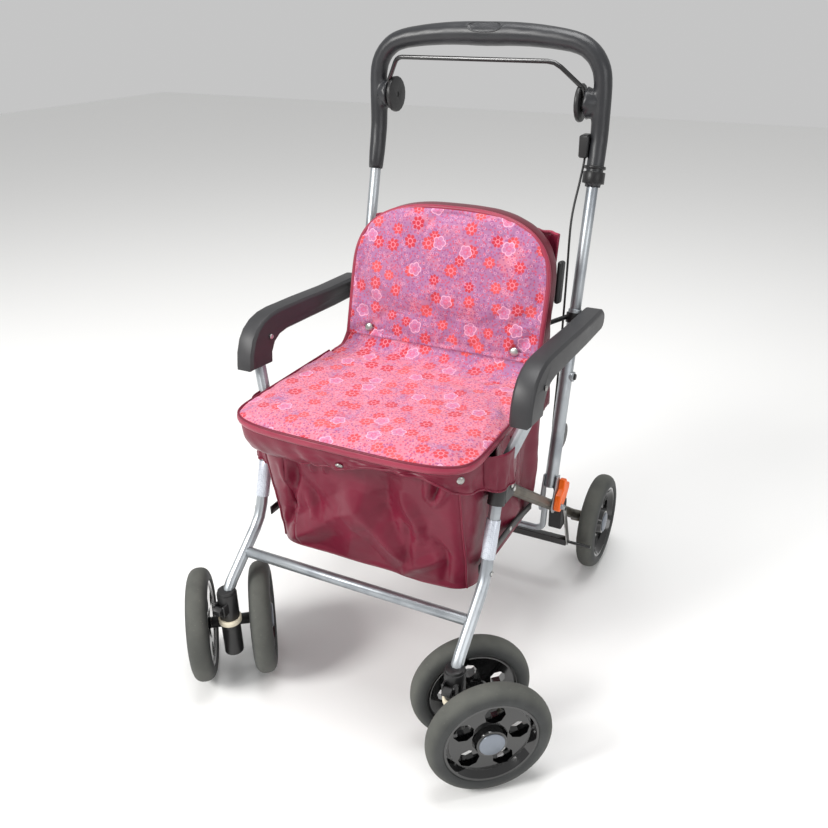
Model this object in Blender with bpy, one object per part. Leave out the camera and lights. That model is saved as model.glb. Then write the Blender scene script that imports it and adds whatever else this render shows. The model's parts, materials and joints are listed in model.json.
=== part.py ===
"""Shopping rollator: a folding walking frame with a padded seat and a bag under it.

X points to the right-hand side as seen from the front of the seat, Y to the rear and Z up.
The two uprights carry the handle, the backrest and the seat. The side bars turn on the uprights
and carry the rear wheels. The front legs turn on the side bars and carry the twin casters.
The armrests turn on the uprights and reach over the tops of the front legs.
"""
import bpy
import bmesh
from math import atan2, cos, degrees, pi, radians, sin, tan
from mathutils import Matrix, Vector

for leftover in list(bpy.data.objects):
    bpy.data.objects.remove(leftover)

# Fits between pieces
GAP = 0.0003
RUNNING_GAP = 0.0004
WELD = 0.001

# Frame lines, from the symmetry plane and the floor
FRAME_HALF = 0.171
FOLD_PIVOT = (0.131, 0.1982)
LEG_PIVOT = (-0.052, 0.3294)
AXLE_Y = 0.2964
UPRIGHT_LEAN = radians(14.78)
ARM_PIVOT_Z = 0.468
ARM_PIN = (-0.030, 0.462)

# Uprights
UPPER_TUBE_R = 0.008
LOWER_TUBE_WALL = 0.0012
TUBE_SIDES = 14
LOWER_TUBE_START = 0.027
LOWER_TUBE_TOP_MARGIN = 0.012
BORE_FLOOR = 0.020
UPPER_TUBE_START = 0.165
FORK_PLATE = 0.0022
FORK_END_R = 0.012
FORK_LENGTH = 0.018
FOLD_PIN_R = 0.004
FOLD_PIN_REACH = 0.014
BUTTON_AT = 0.195
BUTTON_R = 0.0045
BUTTON_TRAVEL = 0.0025
BOSS_WALL = 0.0025
BOSS_HEIGHT = 0.003

# Handle
SLEEVE_START = 0.4582
SLEEVE_STRAIGHT = 0.066
GRIP_BORE_DEPTH = 0.055
GRIP_CROWN = (0.274, 0.832)
GRIP_CORNER = (0.268, 0.818)
GRIP_CORNER_R = 0.052
SLEEVE_BEND_R = 0.12
SLEEVE_R = 0.0120
GRIP_WAIST_R = 0.0130
GRIP_CROWN_R = 0.0165
BADGE_HALF = (0.024, 0.007)
BADGE_DEPTH = 0.0008
BADGE_TILT = radians(50)
HUB = (0.2660, 0.749)
HUB_WIDE_INSET = 0.021
HUB_NARROW_INSET = 0.004
HUB_WIDE_R = 0.0225
NECK_R = 0.007
EYE_R = 0.0125
EYE_WIDTH = 0.0042
CAP_R = 0.025
CAP_THICK = 0.0062
CAP_SCREW_R = 0.004

# Brake lever
LEVER_R = 0.0033
LEVER_LINE = (0.250, 0.801)
LEVER_ROOT = (0.2555, 0.768)
LEVER_RIGHT_INSET = 0.063
LEVER_LEFT_INSET = 0.041

# Cable block, strap and cable
BLOCK_AT = 0.040
BLOCK_SIZE = (0.013, 0.023, 0.030)
STRAP_AT = 0.0145
STRAP_LENGTH = 0.018
STRAP_WALL = 0.0022
STRAP_GAP = 0.0006
CABLE_R = 0.0016
CABLE_LEAD = 0.008
CABLE_ROUTE = [(0.0195, 0.2370, 0.6600), (0.0200, 0.2230, 0.6000), (0.0175, 0.2120, 0.5300),
               (0.0165, 0.2060, 0.4900), (0.0165, 0.2020, 0.4400), (0.0170, 0.1960, 0.3700),
               (0.0180, 0.1900, 0.2900), (0.0150, 0.1880, 0.2200)]

# Side bars and rear axles
BAR_R = 0.008
LEG_PIN_R = 0.0035
CARRIER_R = 0.0095
AXLE_R = 0.005
CROSS_R = 0.005
CROSS_WELD_Y = (0.147, 0.159)
CROSS_INSET = 0.022
CROSS_LINE = (0.178, 0.118)

# Brake on the rear wheels
BRAKE_PIVOT = (0.180, 0.163)
BOX_HALF = 0.0105
BOX_Y = (0.170, 0.194)
BOX_Z = (0.130, 0.176)
BRAKE_STUB_R = 0.0025
LINK_THICK = 0.002
LINK_R = 0.0055
BRAKE_BAR_Z = 0.0840
BRAKE_BAR_SIDE = 0.012
BRAKE_PIN_R = 0.0025
BRAKE_PIN_GAP = 0.005

# Fold lock on the right upright
LOCK_THICK = 0.0095
LOCK_HUB_R = 0.0085
LOCK_BODY = (0.038, 0.022)
LOCK_THUMB = 0.037

# Front legs
LEG_R = 0.008
CASTER_Y = -0.1965
LEG_HEEL_Z = 0.1520
LEG_KNEE = (-0.1095, 0.2225)
LEG_THIGH = (-0.0660, 0.3560)
LEG_SHOULDER = (-0.0440, 0.4260)
LEG_TOP_ABOVE_PIN = 0.005
CROSSBAR_R = 0.0075
CROSSBAR_LINE = (-0.149, 0.1895)
SEAT_RAIL_R = 0.006
SEAT_RAIL_Z = 0.3665
CLAMP_Z = (0.3180, 0.3510)
CLAMP_WALL = 0.003
EAR_THICK = 0.003
EAR_R = 0.0115
EAR_CLEARANCE = 0.0022
REFLECTOR_Z = (0.2520, 0.3000)
REFLECTOR_WALL = 0.0009

# Wheels
WHEEL_R = 0.080
WHEEL_SIDES = 20
TYRE_WIDTH = 0.030
TREAD_HALF = 0.0085
SHOULDER_DROP = 0.008
TYRE_DEPTH = 0.0205
HUB_HALF = 0.0125
HUB_WEB = 0.0035
HUB_LIP = 0.0045
HUB_SLOPE = 0.004
HUB_CAP_R = 0.019
HUB_HOLES = 5
HUB_HOLE_MARGIN = 0.0038
HUB_HOLE_TAPER = 0.0016
HUB_HOLE_SHIFT = 0.0005
REAR_TRACK_OUT = 0.035

# Casters
CASTER_TRAIL = 0.0316
CASTER_TRACK = 0.0422
SWIVEL_LEFT = radians(-37.0)
SWIVEL_RIGHT = radians(50.5)
SOCKET_R = 0.0135
SOCKET_Z = (0.112, 0.152)
COLLAR_HEIGHT = 0.004
SWIVEL_R = 0.014
SWIVEL_Z = (0.052, 0.1117)
BAND_Z = (0.0985, 0.1085)
FORK_ARM = (0.010, 0.013)
FORK_SHOULDER_R = 0.008
LOCK_HALF = 0.006
LOCK_OUT = 0.0166
LOCK_Z = 0.134
LOCK_PIN_R = 0.0013
LOCK_CHEEK = 0.003

# Armrests
ARM_WIDTH = 0.028
ARM_WALL = 0.0025
ARM_REAR_Y = 0.222
ARM_REAR_Z = (0.453, 0.484)
ARM_EDGE_R = 0.0036
ARM_PIN_R = 0.004
ARM_BOSS_R = 0.0042
ARM_BOSS_CLEARANCE = 0.0007
ARM_SCREW = (0.0032, 0.0018)
ARM_TOP = [(-0.0780, 0.4280), (-0.0740, 0.4790), (-0.0480, 0.4950), (-0.0050, 0.4940)]
ARM_UNDER = [(-0.0300, 0.4240), (-0.0310, 0.4480), (-0.0180, 0.4600), (0.0080, 0.4600)]
ARM_TOP_BEND = (0.0500, 0.4935)
ARM_UNDER_BEND = (0.0600, 0.4590)
ARM_STRAIGHT_Y = (0.120, 0.130)
ARM_CAVITY_BELOW = 0.010
RING_WALL = 0.0016
RING_LENGTH = 0.014

# Seat
SEAT_INSET = 0.003
SEAT_Y = (-0.169, 0.083)
SEAT_HINGE = (0.092, 0.386)
SEAT_CORNER = 0.075
SEAT_BLUNT = 3.2
BOARD_INSET = 0.022
BOARD_SETBACK = 0.020
BOARD_REAR_Y = 0.078
BOARD_THICK = 0.006
BOARD_Z = 0.3795
PAD_THICK = 0.023
PAD_CROWN = 0.007
PAD_DRAW_IN = 0.003
BARREL_R = 0.0075
BARREL_LENGTH = 0.036
BARREL_SPACING = 0.095

# Backrest
BACK_INSET = 0.021
BACK_Z = (0.422, 0.612)
BACK_SHOULDER_Z = 0.508
BACK_FOOT = (0.119, 0.436)
BACK_LEAN = atan2(0.28, 1.0)
BACK_THICK = 0.018
BACK_CROWN = 0.003
BACK_BLUNT = 2.8
BACK_FOLD_Z = 0.467
BACK_FOLD_DEPTH = 0.0022
LOOP_R = 0.005
LOOP_IN_RIM = 0.00125
LOOP_INSET = 0.008
LOOP_HEEL = (0.127, 0.402)
LOOP_KNEE_Z = 0.446
LOOP_BELOW_TOP = 0.024
POCKET_INSET = 0.024
POCKET_Z = (0.462, 0.590)
POCKET_DEPTH = 0.017

# Bag
BAG_TOP_INSET = 0.014
BAG_BOTTOM_INSET = 0.021
BAG_Z = (0.194, 0.354)
BAG_FRONT_Y = (-0.111, -0.147)
BAG_REAR_Y = (0.118, 0.124)
BAG_SWELL = 0.006
BAG_CORNER = 0.014
BAG_FRONT_CORNER = 0.032
BAG_WALL = 0.0025
BAG_STRAP_HEIGHT = 0.020

# Guide discs behind the uprights
DISC_Z = 0.292
DISC_R = 0.0190
DISC_HALF = 0.0040
DISC_OUT = 0.0100
DISC_ARM = 0.030
DISC_ARM_R = 0.0035

# Colour, roughness and metallic value
SILVER = ((0.48, 0.50, 0.52), 0.35, 0.9)
STEEL = ((0.55, 0.56, 0.57), 0.3, 1.0)
GREY_BAR = ((0.16, 0.15, 0.14), 0.45, 0.6)
REFLECTIVE = ((0.62, 0.65, 0.70), 0.4, 0.2)
BLACK = ((0.02, 0.02, 0.021), 0.4, 0.0)
CHARCOAL = ((0.035, 0.037, 0.04), 0.45, 0.0)
ARM_GREY = ((0.045, 0.045, 0.043), 0.5, 0.0)
RUBBER = ((0.09, 0.095, 0.09), 0.8, 0.0)
GLOSS_BLACK = ((0.01, 0.01, 0.011), 0.15, 0.0)
FLORAL = ((0.75, 0.25, 0.38), 0.8, 0.0)
BURGUNDY = ((0.18, 0.015, 0.045), 0.7, 0.0)
ORANGE = ((0.9, 0.19, 0.01), 0.5, 0.0)

# Sizes that follow from the ones above
LOWER_TUBE_R = UPPER_TUBE_R + GAP + LOWER_TUBE_WALL
WHEEL_Z = WHEEL_R * cos(pi / WHEEL_SIDES)
RIM_R = WHEEL_R - TYRE_DEPTH
HUB_DISH_R = RIM_R - HUB_LIP
HUB_HOLE_R = (HUB_DISH_R - HUB_CAP_R) / 2 - HUB_HOLE_MARGIN
HUB_HOLE_CIRCLE = (HUB_DISH_R + HUB_CAP_R) / 2 - HUB_HOLE_SHIFT
BAR_ANGLE = atan2(LEG_PIVOT[1] - WHEEL_Z, AXLE_Y - LEG_PIVOT[0])
UPRIGHT = Vector((0, sin(UPRIGHT_LEAN), cos(UPRIGHT_LEAN)))
ARM_AT = (ARM_PIVOT_Z - FOLD_PIVOT[1]) / cos(UPRIGHT_LEAN)
ARM_INNER_X = FRAME_HALF + LOWER_TUBE_R + GAP + RING_WALL + GAP
ARM_MID_X = ARM_INNER_X + ARM_WIDTH / 2
FORK_INNER = BAR_R + RUNNING_GAP
FORK_OUTER = FORK_INNER + FORK_PLATE
BOX_OUTER = FRAME_HALF + BOX_HALF
CROSS_X = FRAME_HALF - CROSS_INSET
REAR_TRACK_HALF = FRAME_HALF + REAR_TRACK_OUT
SEAT_HALF = FRAME_HALF - SEAT_INSET
BOARD_HALF = SEAT_HALF - BOARD_INSET
BACK_HALF = FRAME_HALF - BACK_INSET
LOOP_HALF = BACK_HALF - LOOP_INSET
POCKET_HALF = BACK_HALF - POCKET_INSET
BAG_TOP_HALF = FRAME_HALF - BAG_TOP_INSET
BAG_BOTTOM_HALF = FRAME_HALF - BAG_BOTTOM_INSET
HUB_WIDE_X = FRAME_HALF - HUB_WIDE_INSET
HUB_NARROW_X = FRAME_HALF - HUB_NARROW_INSET
EYE_MID = HUB_WIDE_X - RUNNING_GAP - EYE_WIDTH / 2
CAP_OUTER_X = EYE_MID - EYE_WIDTH / 2 - RUNNING_GAP
BOSS_REACH = LOWER_TUBE_R + BOSS_HEIGHT
LOOP_BEHIND = BACK_THICK + GAP + LOOP_R - LOOP_IN_RIM

frame_origin = bpy.data.objects.new("frame_origin", None)
bpy.context.scene.collection.objects.link(frame_origin)


def material(name, look):
    """A plain Principled material."""
    colour, roughness, metallic = look
    made = bpy.data.materials.new(name)
    made.use_nodes = True
    shader = made.node_tree.nodes["Principled BSDF"]
    shader.inputs["Base Color"].default_value = (*colour, 1)
    shader.inputs["Roughness"].default_value = roughness
    shader.inputs["Metallic"].default_value = metallic
    return made


def place(name, mesh, look, at=(0, 0, 0), turn=0.0, parent=None):
    """Make one node. A mesh drawn in the frame is moved so that its origin lies at the given point."""
    if parent is None:
        parent = frame_origin
        mesh.transform(Matrix.Translation(-Vector(at)))
    mesh.materials.clear()
    mesh.materials.append(material(name, look))
    piece = bpy.data.objects.new(name, mesh)
    piece.location = at
    piece.rotation_euler = (0, 0, turn)
    piece.parent = parent
    bpy.context.scene.collection.objects.link(piece)
    mesh.shade_smooth()
    mesh.set_sharp_from_angle(angle=radians(35))


def mirrored(mesh):
    """The same shape on the other side of the symmetry plane."""
    twin = mesh.copy()
    twin.transform(Matrix.Scale(-1, 4, Vector((1, 0, 0))))
    twin.flip_normals()
    return twin


def place_pair(name, mesh, look, at=(0, 0, 0)):
    """The right-hand node as drawn, and its mirrored left-hand twin."""
    twin = mirrored(mesh)
    place(name + "_R", mesh, look, at)
    place(name + "_L", twin, look, (-at[0], at[1], at[2]))


def to_mesh(bm):
    """A mesh with its faces pointing outwards."""
    bmesh.ops.recalc_face_normals(bm, faces=bm.faces)
    if bm.calc_volume(signed=True) < 0:
        bmesh.ops.reverse_faces(bm, faces=bm.faces)
    mesh = bpy.data.meshes.new("shape")
    bm.to_mesh(mesh)
    bm.free()
    return mesh


def carve(mesh, adds=(), cuts=()):
    """The mesh after Boolean unions with adds and then differences with cuts."""
    body = bpy.data.objects.new("body", mesh)
    bpy.context.scene.collection.objects.link(body)
    helpers = []
    for operation, shapes in (("UNION", adds), ("DIFFERENCE", cuts)):
        for shape in shapes:
            helper = bpy.data.objects.new("helper", shape)
            helper.hide_render = True
            helper.display_type = "WIRE"
            bpy.context.scene.collection.objects.link(helper)
            helpers.append(helper)
            step = body.modifiers.new(operation, "BOOLEAN")
            step.operation = operation
            step.object = helper
    seen = bpy.context.evaluated_depsgraph_get()
    result = bpy.data.meshes.new_from_object(body.evaluated_get(seen))
    for used in [body, *helpers]:
        bpy.data.objects.remove(used)
    return result


def chamfer(bm, edges, width):
    if width:
        bmesh.ops.bevel(bm, geom=edges, offset=width, segments=1, profile=0.5, affect="EDGES")


def box(low, high, edge=0.0):
    """A block between two corners, with its edges chamfered."""
    bm = bmesh.new()
    bmesh.ops.create_cube(bm, size=1)
    low, high = Vector(low), Vector(high)
    bmesh.ops.scale(bm, vec=high - low, verts=bm.verts)
    bmesh.ops.translate(bm, vec=(low + high) / 2, verts=bm.verts)
    chamfer(bm, bm.edges[:], edge)
    return to_mesh(bm)


def rod(start, end, radius, sides=12, end_radius=None, edge=0.0):
    """A cylinder or cone between two points."""
    start, end = Vector(start), Vector(end)
    along = end - start
    bm = bmesh.new()
    bmesh.ops.create_cone(bm, cap_ends=True, segments=sides, radius1=radius,
                          radius2=radius if end_radius is None else end_radius, depth=along.length)
    chamfer(bm, [e for e in bm.edges if any(len(f.verts) > 4 for f in e.link_faces)], edge)
    turn = Vector((0, 0, 1)).rotation_difference(along).to_matrix().to_4x4()
    bmesh.ops.transform(bm, matrix=Matrix.Translation((start + end) / 2) @ turn, verts=bm.verts)
    return to_mesh(bm)


def across(x_low, x_high, line, radius, sides=12, **more):
    """A cylinder along X at a (y, z) point."""
    return rod((x_low, *line), (x_high, *line), radius, sides, **more)


def plate(outline, x_low, x_high, edge=0.0):
    """A flat plate: the (y, z) outline drawn out along X."""
    bm = bmesh.new()
    face = bm.faces.new([bm.verts.new((x_low, y, z)) for y, z in outline])
    moved = bmesh.ops.extrude_face_region(bm, geom=[face])
    raised = [v for v in moved["geom"] if isinstance(v, bmesh.types.BMVert)]
    bmesh.ops.translate(bm, vec=(x_high - x_low, 0, 0), verts=raised)
    chamfer(bm, [e for e in bm.edges if e.verts[0].co.x == e.verts[1].co.x], edge)
    return to_mesh(bm)


def rounded(points, radii, step=radians(15)):
    """The path through the points with each inner corner rounded by an arc."""
    points = [Vector(p) for p in points]
    path = [points[0]]
    for before, corner, after, radius in zip(points, points[1:], points[2:], radii):
        back = (before - corner).normalized()
        on = (after - corner).normalized()
        half = back.angle(on) / 2
        first = corner + back * (radius / tan(half))
        centre = corner + (back + on).normalized() * (radius / sin(half))
        spoke = first - centre
        axis = spoke.cross(-back)
        sweep = pi - 2 * half
        count = max(2, round(sweep / step))
        for index in range(count + 1):
            path.append(centre + Matrix.Rotation(sweep * index / count, 3, axis) @ spoke)
    path.append(points[-1])
    return path


def smooth_path(points, spacing):
    """Points at even steps along a smooth curve through the given ones."""
    points = [Vector(p) for p in points]
    ends = [2 * points[0] - points[1], *points, 2 * points[-1] - points[-2]]
    path = []
    for a, b, c, d in zip(ends, ends[1:], ends[2:], ends[3:]):
        count = max(1, round((c - b).length / spacing))
        for index in range(count):
            t = index / count
            path.append(0.5 * (2 * b + (c - a) * t + (2 * a - 5 * b + 4 * c - d) * t ** 2
                               + (3 * b - a - 3 * c + d) * t ** 3))
    path.append(points[-1])
    return path


def tube(path, radius, sides=12, radii=None, closed=False):
    """A round bar along the path, from a curve with a bevel and filled caps."""
    curve = bpy.data.curves.new("path", "CURVE")
    curve.dimensions = "3D"
    curve.render_resolution_u = 0
    curve.bevel_depth = radius
    curve.bevel_resolution = (sides - 4) // 2
    curve.use_fill_caps = True
    line = curve.splines.new("POLY")
    line.use_cyclic_u = closed
    line.points.add(len(path) - 1)
    for index, point in enumerate(path):
        line.points[index].co = (*point, 1)
        line.points[index].radius = 1 if radii is None else radii[index] / radius
    holder = bpy.data.objects.new("path", curve)
    bpy.context.scene.collection.objects.link(holder)
    seen = bpy.context.evaluated_depsgraph_get()
    mesh = bpy.data.meshes.new_from_object(holder.evaluated_get(seen))
    bpy.data.objects.remove(holder)
    bm = bmesh.new()
    bm.from_mesh(mesh)
    bmesh.ops.remove_doubles(bm, verts=bm.verts, dist=0.00001)
    return to_mesh(bm)


def turned(profile, sides):
    """A ring turned about the X axis from a closed profile of (x, radius) points."""
    bm = bmesh.new()
    start = Matrix.Rotation(pi / sides, 3, "X")
    verts = [bm.verts.new(start @ Vector((x, 0, r))) for x, r in profile]
    edges = [bm.edges.new((a, b)) for a, b in zip(verts, verts[1:] + verts[:1])]
    bmesh.ops.spin(bm, geom=verts + edges, axis=(1, 0, 0), cent=(0, 0, 0), angle=2 * pi,
                   steps=sides, use_merge=True)
    bmesh.ops.remove_doubles(bm, verts=bm.verts, dist=0.00001)
    return to_mesh(bm)


def arc(centre, radius, start, end, count):
    """Points on a circle in the (y, z) plane, with the angles in degrees from +Y to +Z."""
    angles = [radians(start + (end - start) * i / count) for i in range(count + 1)]
    return [(centre[0] + radius * cos(a), centre[1] + radius * sin(a)) for a in angles]


def bezier(p0, p1, p2, p3, count):
    """Points on a cubic curve, its first end left out."""
    points = []
    for index in range(1, count + 1):
        t = index / count
        weights = ((1 - t) ** 3, 3 * t * (1 - t) ** 2, 3 * t ** 2 * (1 - t), t ** 3)
        points.append(tuple(sum(w * p[k] for w, p in zip(weights, (p0, p1, p2, p3)))
                            for k in range(len(p0))))
    return points


def offset(points, distance):
    """The line moved to its right-hand side by this distance."""
    points = [Vector(p) for p in points]
    moved = []
    for index, point in enumerate(points):
        before = points[max(index - 1, 0)]
        after = points[min(index + 1, len(points) - 1)]
        along = (after - before).normalized()
        moved.append(tuple(point + Vector((along.y, -along.x)) * distance))
    return moved


def on_upright(distance, x=FRAME_HALF):
    """A point on an upright's centre line, at this distance up it from the fold pivot."""
    return Vector((x, *FOLD_PIVOT)) + UPRIGHT * distance


def on_bar(y, x=FRAME_HALF):
    """The point of a side bar's centre line at this y."""
    return Vector((x, y, LEG_PIVOT[1] - (y - LEG_PIVOT[0]) * tan(BAR_ANGLE)))


def leg_path(reach=0.0):
    """The right front leg's centre line, from the caster socket to the armrest."""
    points = [(FRAME_HALF, CASTER_Y, SOCKET_Z[0] + 0.010 - reach),
              (FRAME_HALF, CASTER_Y, LEG_HEEL_Z),
              (FRAME_HALF, *LEG_KNEE),
              (FRAME_HALF, *LEG_THIGH),
              (ARM_MID_X, *LEG_SHOULDER),
              (ARM_MID_X, ARM_PIN[0], ARM_PIN[1] + LEG_TOP_ABOVE_PIN + reach)]
    return rounded(points, (0.040, 0.060, 0.060, 0.018))


def leg_point(z):
    """The point of the right leg's centre line at this height, above its lower bends."""
    path = leg_path()
    return next(a.lerp(b, (z - a.z) / (b.z - a.z)) for a, b in zip(path, path[1:]) if a.z <= z <= b.z)


def uprights():
    """Lower tubes with forked feet, the telescoping upper tubes and the height buttons."""
    top = ARM_AT + LOWER_TUBE_TOP_MARGIN
    shell = rod(on_upright(LOWER_TUBE_START), on_upright(top), LOWER_TUBE_R, TUBE_SIDES)
    bore = rod(on_upright(LOWER_TUBE_START + BORE_FLOOR), on_upright(top + WELD),
               UPPER_TUBE_R + GAP, TUBE_SIDES)
    pivot = Vector(FOLD_PIVOT)
    along = Vector((UPRIGHT.y, UPRIGHT.z))
    side_on = Vector((along.y, -along.x)) * UPPER_TUBE_R
    far = pivot + along * (LOWER_TUBE_START + FORK_LENGTH)
    lean = degrees(UPRIGHT_LEAN)
    outline = arc(FOLD_PIVOT, FORK_END_R, 180 - lean, 360 - lean, 8)
    outline += [tuple(far + side_on), tuple(far - side_on)]
    cheeks = [plate(outline, FRAME_HALF + side * FORK_INNER, FRAME_HALF + side * FORK_OUTER)
              for side in (-1, 1)]
    pin = across(FRAME_HALF - FORK_OUTER - WELD, FRAME_HALF + FORK_OUTER + FOLD_PIN_REACH,
                 FOLD_PIVOT, FOLD_PIN_R)
    button_at = on_upright(BUTTON_AT)
    line = button_at.yz
    pocket_floor = FRAME_HALF + LOWER_TUBE_R - GAP
    boss = across(FRAME_HALF + LOWER_TUBE_R / 3, FRAME_HALF + BOSS_REACH, line, BUTTON_R + GAP + BOSS_WALL)
    pocket = across(pocket_floor, FRAME_HALF + BOSS_REACH + WELD, line, BUTTON_R + GAP)
    place_pair("lower_tube", carve(shell, adds=[*cheeks, pin, boss], cuts=[bore, pocket]), SILVER)
    button = across(pocket_floor + BUTTON_TRAVEL + GAP, FRAME_HALF + BOSS_REACH + BUTTON_TRAVEL, line,
                    BUTTON_R, edge=0.0005)
    place_pair("height_button", button, BLACK, at=tuple(button_at))
    upper = rod(on_upright(UPPER_TUBE_START), on_upright(SLEEVE_START + GRIP_BORE_DEPTH - GAP),
                UPPER_TUBE_R, TUBE_SIDES)
    place_pair("upper_tube", upper, SILVER)


def grip_arch(thicker=0.0):
    """The handle's moulded arch, from sleeve foot to sleeve foot, or a thicker copy of it."""
    foot = on_upright(SLEEVE_START)
    knee = on_upright(SLEEVE_START + SLEEVE_STRAIGHT)
    crown = Vector((0, *GRIP_CROWN))
    corner = Vector((FRAME_HALF, *GRIP_CORNER))
    peak = crown + Vector((0, 0, crown.z - corner.z))
    path = rounded([foot, knee, corner, peak], (SLEEVE_BEND_R, GRIP_CORNER_R), radians(18))[:-1]
    bend = path[-1].lerp(peak, 0.5)
    path += [Vector(point) for point in
             bezier(path[-1], path[-1].lerp(bend, 2 / 3), crown.lerp(bend, 2 / 3), crown, 4)]
    radii = []
    for point in path:
        up = min(1, (point.z - foot.z) / (HUB[1] - foot.z))
        inward = max(0, 1 - point.x / FRAME_HALF)
        radii.append(SLEEVE_R + (GRIP_WAIST_R - SLEEVE_R) * up + (GRIP_CROWN_R - GRIP_WAIST_R) * inward
                     + thicker)
    other = [Vector((-p.x, p.y, p.z)) for p in path[-2::-1]]
    return tube(path + other, GRIP_CROWN_R, 12, radii + radii[-2::-1])


def grip():
    """The moulded handle arch with its sleeves, the lever housings and a plain oval recess."""
    crown = Vector((0, *GRIP_CROWN))
    body = grip_arch()
    adds, cuts = [], []
    for side in (1, -1):
        adds.append(across(side * HUB_NARROW_X, side * HUB_WIDE_X, HUB, GRIP_WAIST_R, 16,
                           end_radius=HUB_WIDE_R))
        adds.append(across(side * (HUB_WIDE_X + WELD), side * (CAP_OUTER_X + GAP), HUB, NECK_R))
        cuts.append(rod(on_upright(SLEEVE_START - WELD, side * FRAME_HALF),
                        on_upright(SLEEVE_START + GRIP_BORE_DEPTH, side * FRAME_HALF),
                        UPPER_TUBE_R + GAP, TUBE_SIDES))
    facing = Vector((0, -sin(BADGE_TILT), cos(BADGE_TILT)))
    floor = crown + facing * (GRIP_CROWN_R - BADGE_DEPTH)
    half_long, half_short = BADGE_HALF
    recess = rod(floor, floor + facing * half_short, half_short, 20)
    recess.transform(Matrix.Diagonal((half_long / half_short, 1, 1, 1)))
    place("grip", carve(body, adds, [*cuts, recess]), CHARCOAL)
    cap = across(CAP_OUTER_X - CAP_THICK, CAP_OUTER_X, HUB, CAP_R, 18, edge=0.0012)
    dish = across(CAP_OUTER_X - CAP_THICK - WELD, CAP_OUTER_X - CAP_THICK + WELD, HUB, CAP_SCREW_R, 10)
    place_pair("hub_cap", carve(cap, cuts=[dish]), BLACK)


def cable_block_and_strap():
    """The cable block inside the right sleeve, and the strap round the sleeve's foot."""
    low = on_upright(SLEEVE_START + BLOCK_AT)
    thick, depth, height = BLOCK_SIZE
    inner = FRAME_HALF - SLEEVE_R + 2 * WELD
    block = box((inner - thick, low.y - depth / 2, low.z), (inner, low.y + depth / 2, low.z + height),
                0.002)
    place("cable_block", carve(block, cuts=[grip_arch(GAP)]), BLACK)
    middle = SLEEVE_START + STRAP_AT
    hole = SLEEVE_R + STRAP_GAP
    ring = rod(on_upright(middle - STRAP_LENGTH / 2), on_upright(middle + STRAP_LENGTH / 2),
               hole + STRAP_WALL, 16)
    bore = rod(on_upright(middle - STRAP_LENGTH), on_upright(middle + STRAP_LENGTH), hole, 16)
    place("cane_strap", carve(ring, cuts=[bore]), BLACK)


def brake_lever():
    """The bent rod across the handle, with an eye round each hub neck."""
    root = (EYE_MID, HUB[0] - EYE_R / 2, HUB[1] + EYE_R / 2)
    points = [root, (EYE_MID, *LEVER_ROOT), (FRAME_HALF - LEVER_RIGHT_INSET, *LEVER_LINE),
              (LEVER_LEFT_INSET - FRAME_HALF, *LEVER_LINE),
              (-EYE_MID, *LEVER_ROOT), (-root[0], root[1], root[2])]
    body = tube(rounded(points, (0.010, 0.030, 0.014, 0.010), radians(20)), LEVER_R, 8)
    adds, cuts = [], []
    for side in (1, -1):
        inner = side * (EYE_MID - EYE_WIDTH / 2)
        outer = side * (EYE_MID + EYE_WIDTH / 2)
        adds.append(across(inner, outer, HUB, EYE_R, 14))
        cuts.append(across(inner - side * WELD, outer + side * WELD, HUB, NECK_R + RUNNING_GAP))
        cuts.append(across(inner - side * CAP_R, inner, HUB, CAP_R + WELD))
        cuts.append(across(outer, outer + side * CAP_R, HUB, CAP_R + WELD))
    place("brake_lever", carve(body, adds, cuts), BLACK, at=(0, *HUB))


def brake_cable():
    """The cable from the block, behind the backrest and down to the right brake box."""
    low = on_upright(SLEEVE_START + BLOCK_AT)
    start = Vector((FRAME_HALF - SLEEVE_R - BLOCK_SIZE[0] / 2, low.y, low.z - GAP))
    end = Vector((FRAME_HALF - BOX_HALF / 2, sum(BOX_Y) / 2, BOX_Z[1] + GAP))
    lead = Vector((0, 0, CABLE_LEAD))
    middle = [(FRAME_HALF - inward, y, z) for inward, y, z in CABLE_ROUTE]
    route = [start, start - lead, *middle, end + lead, end]
    place("brake_cable", tube(smooth_path(route, 6 * CABLE_R), CABLE_R, 8), BLACK)


def side_bars():
    """The bars from the front legs through the fold pivots to the rear axles."""
    bar = rod(on_bar(LEG_PIVOT[0]), on_bar(AXLE_Y), BAR_R, TUBE_SIDES)
    nose = across(FRAME_HALF - BAR_R * 0.8, FRAME_HALF + BAR_R * 0.8, LEG_PIVOT, BAR_R, TUBE_SIDES)
    axle_line = (AXLE_Y, WHEEL_Z)
    carrier = across(FRAME_HALF - BAR_R, REAR_TRACK_HALF - HUB_HALF - RUNNING_GAP, axle_line, CARRIER_R, 14)
    axle = across(FRAME_HALF, REAR_TRACK_HALF + HUB_HALF - WELD, axle_line, AXLE_R)
    holes = [across(FRAME_HALF - 2 * BAR_R, FRAME_HALF + 2 * BAR_R, spot, radius + RUNNING_GAP)
             for spot, radius in ((LEG_PIVOT, LEG_PIN_R), (FOLD_PIVOT, FOLD_PIN_R))]
    place_pair("side_bar", carve(bar, adds=[nose, carrier, axle], cuts=holes), GREY_BAR,
               at=(FRAME_HALF, *FOLD_PIVOT))


def rear_cross_tube():
    """The bent tube under the bag that ties the two side bars together."""
    side_x = FRAME_HALF - BAR_R - CROSS_R - GAP
    right = [on_bar(CROSS_WELD_Y[0], side_x), on_bar(CROSS_WELD_Y[1], side_x), (CROSS_X, *CROSS_LINE)]
    left = [(-p[0], p[1], p[2]) for p in reversed(right)]
    place("rear_cross_tube", tube(rounded(right + left, (0.010, 0.016, 0.016, 0.010)), CROSS_R, 10), SILVER)


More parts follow.
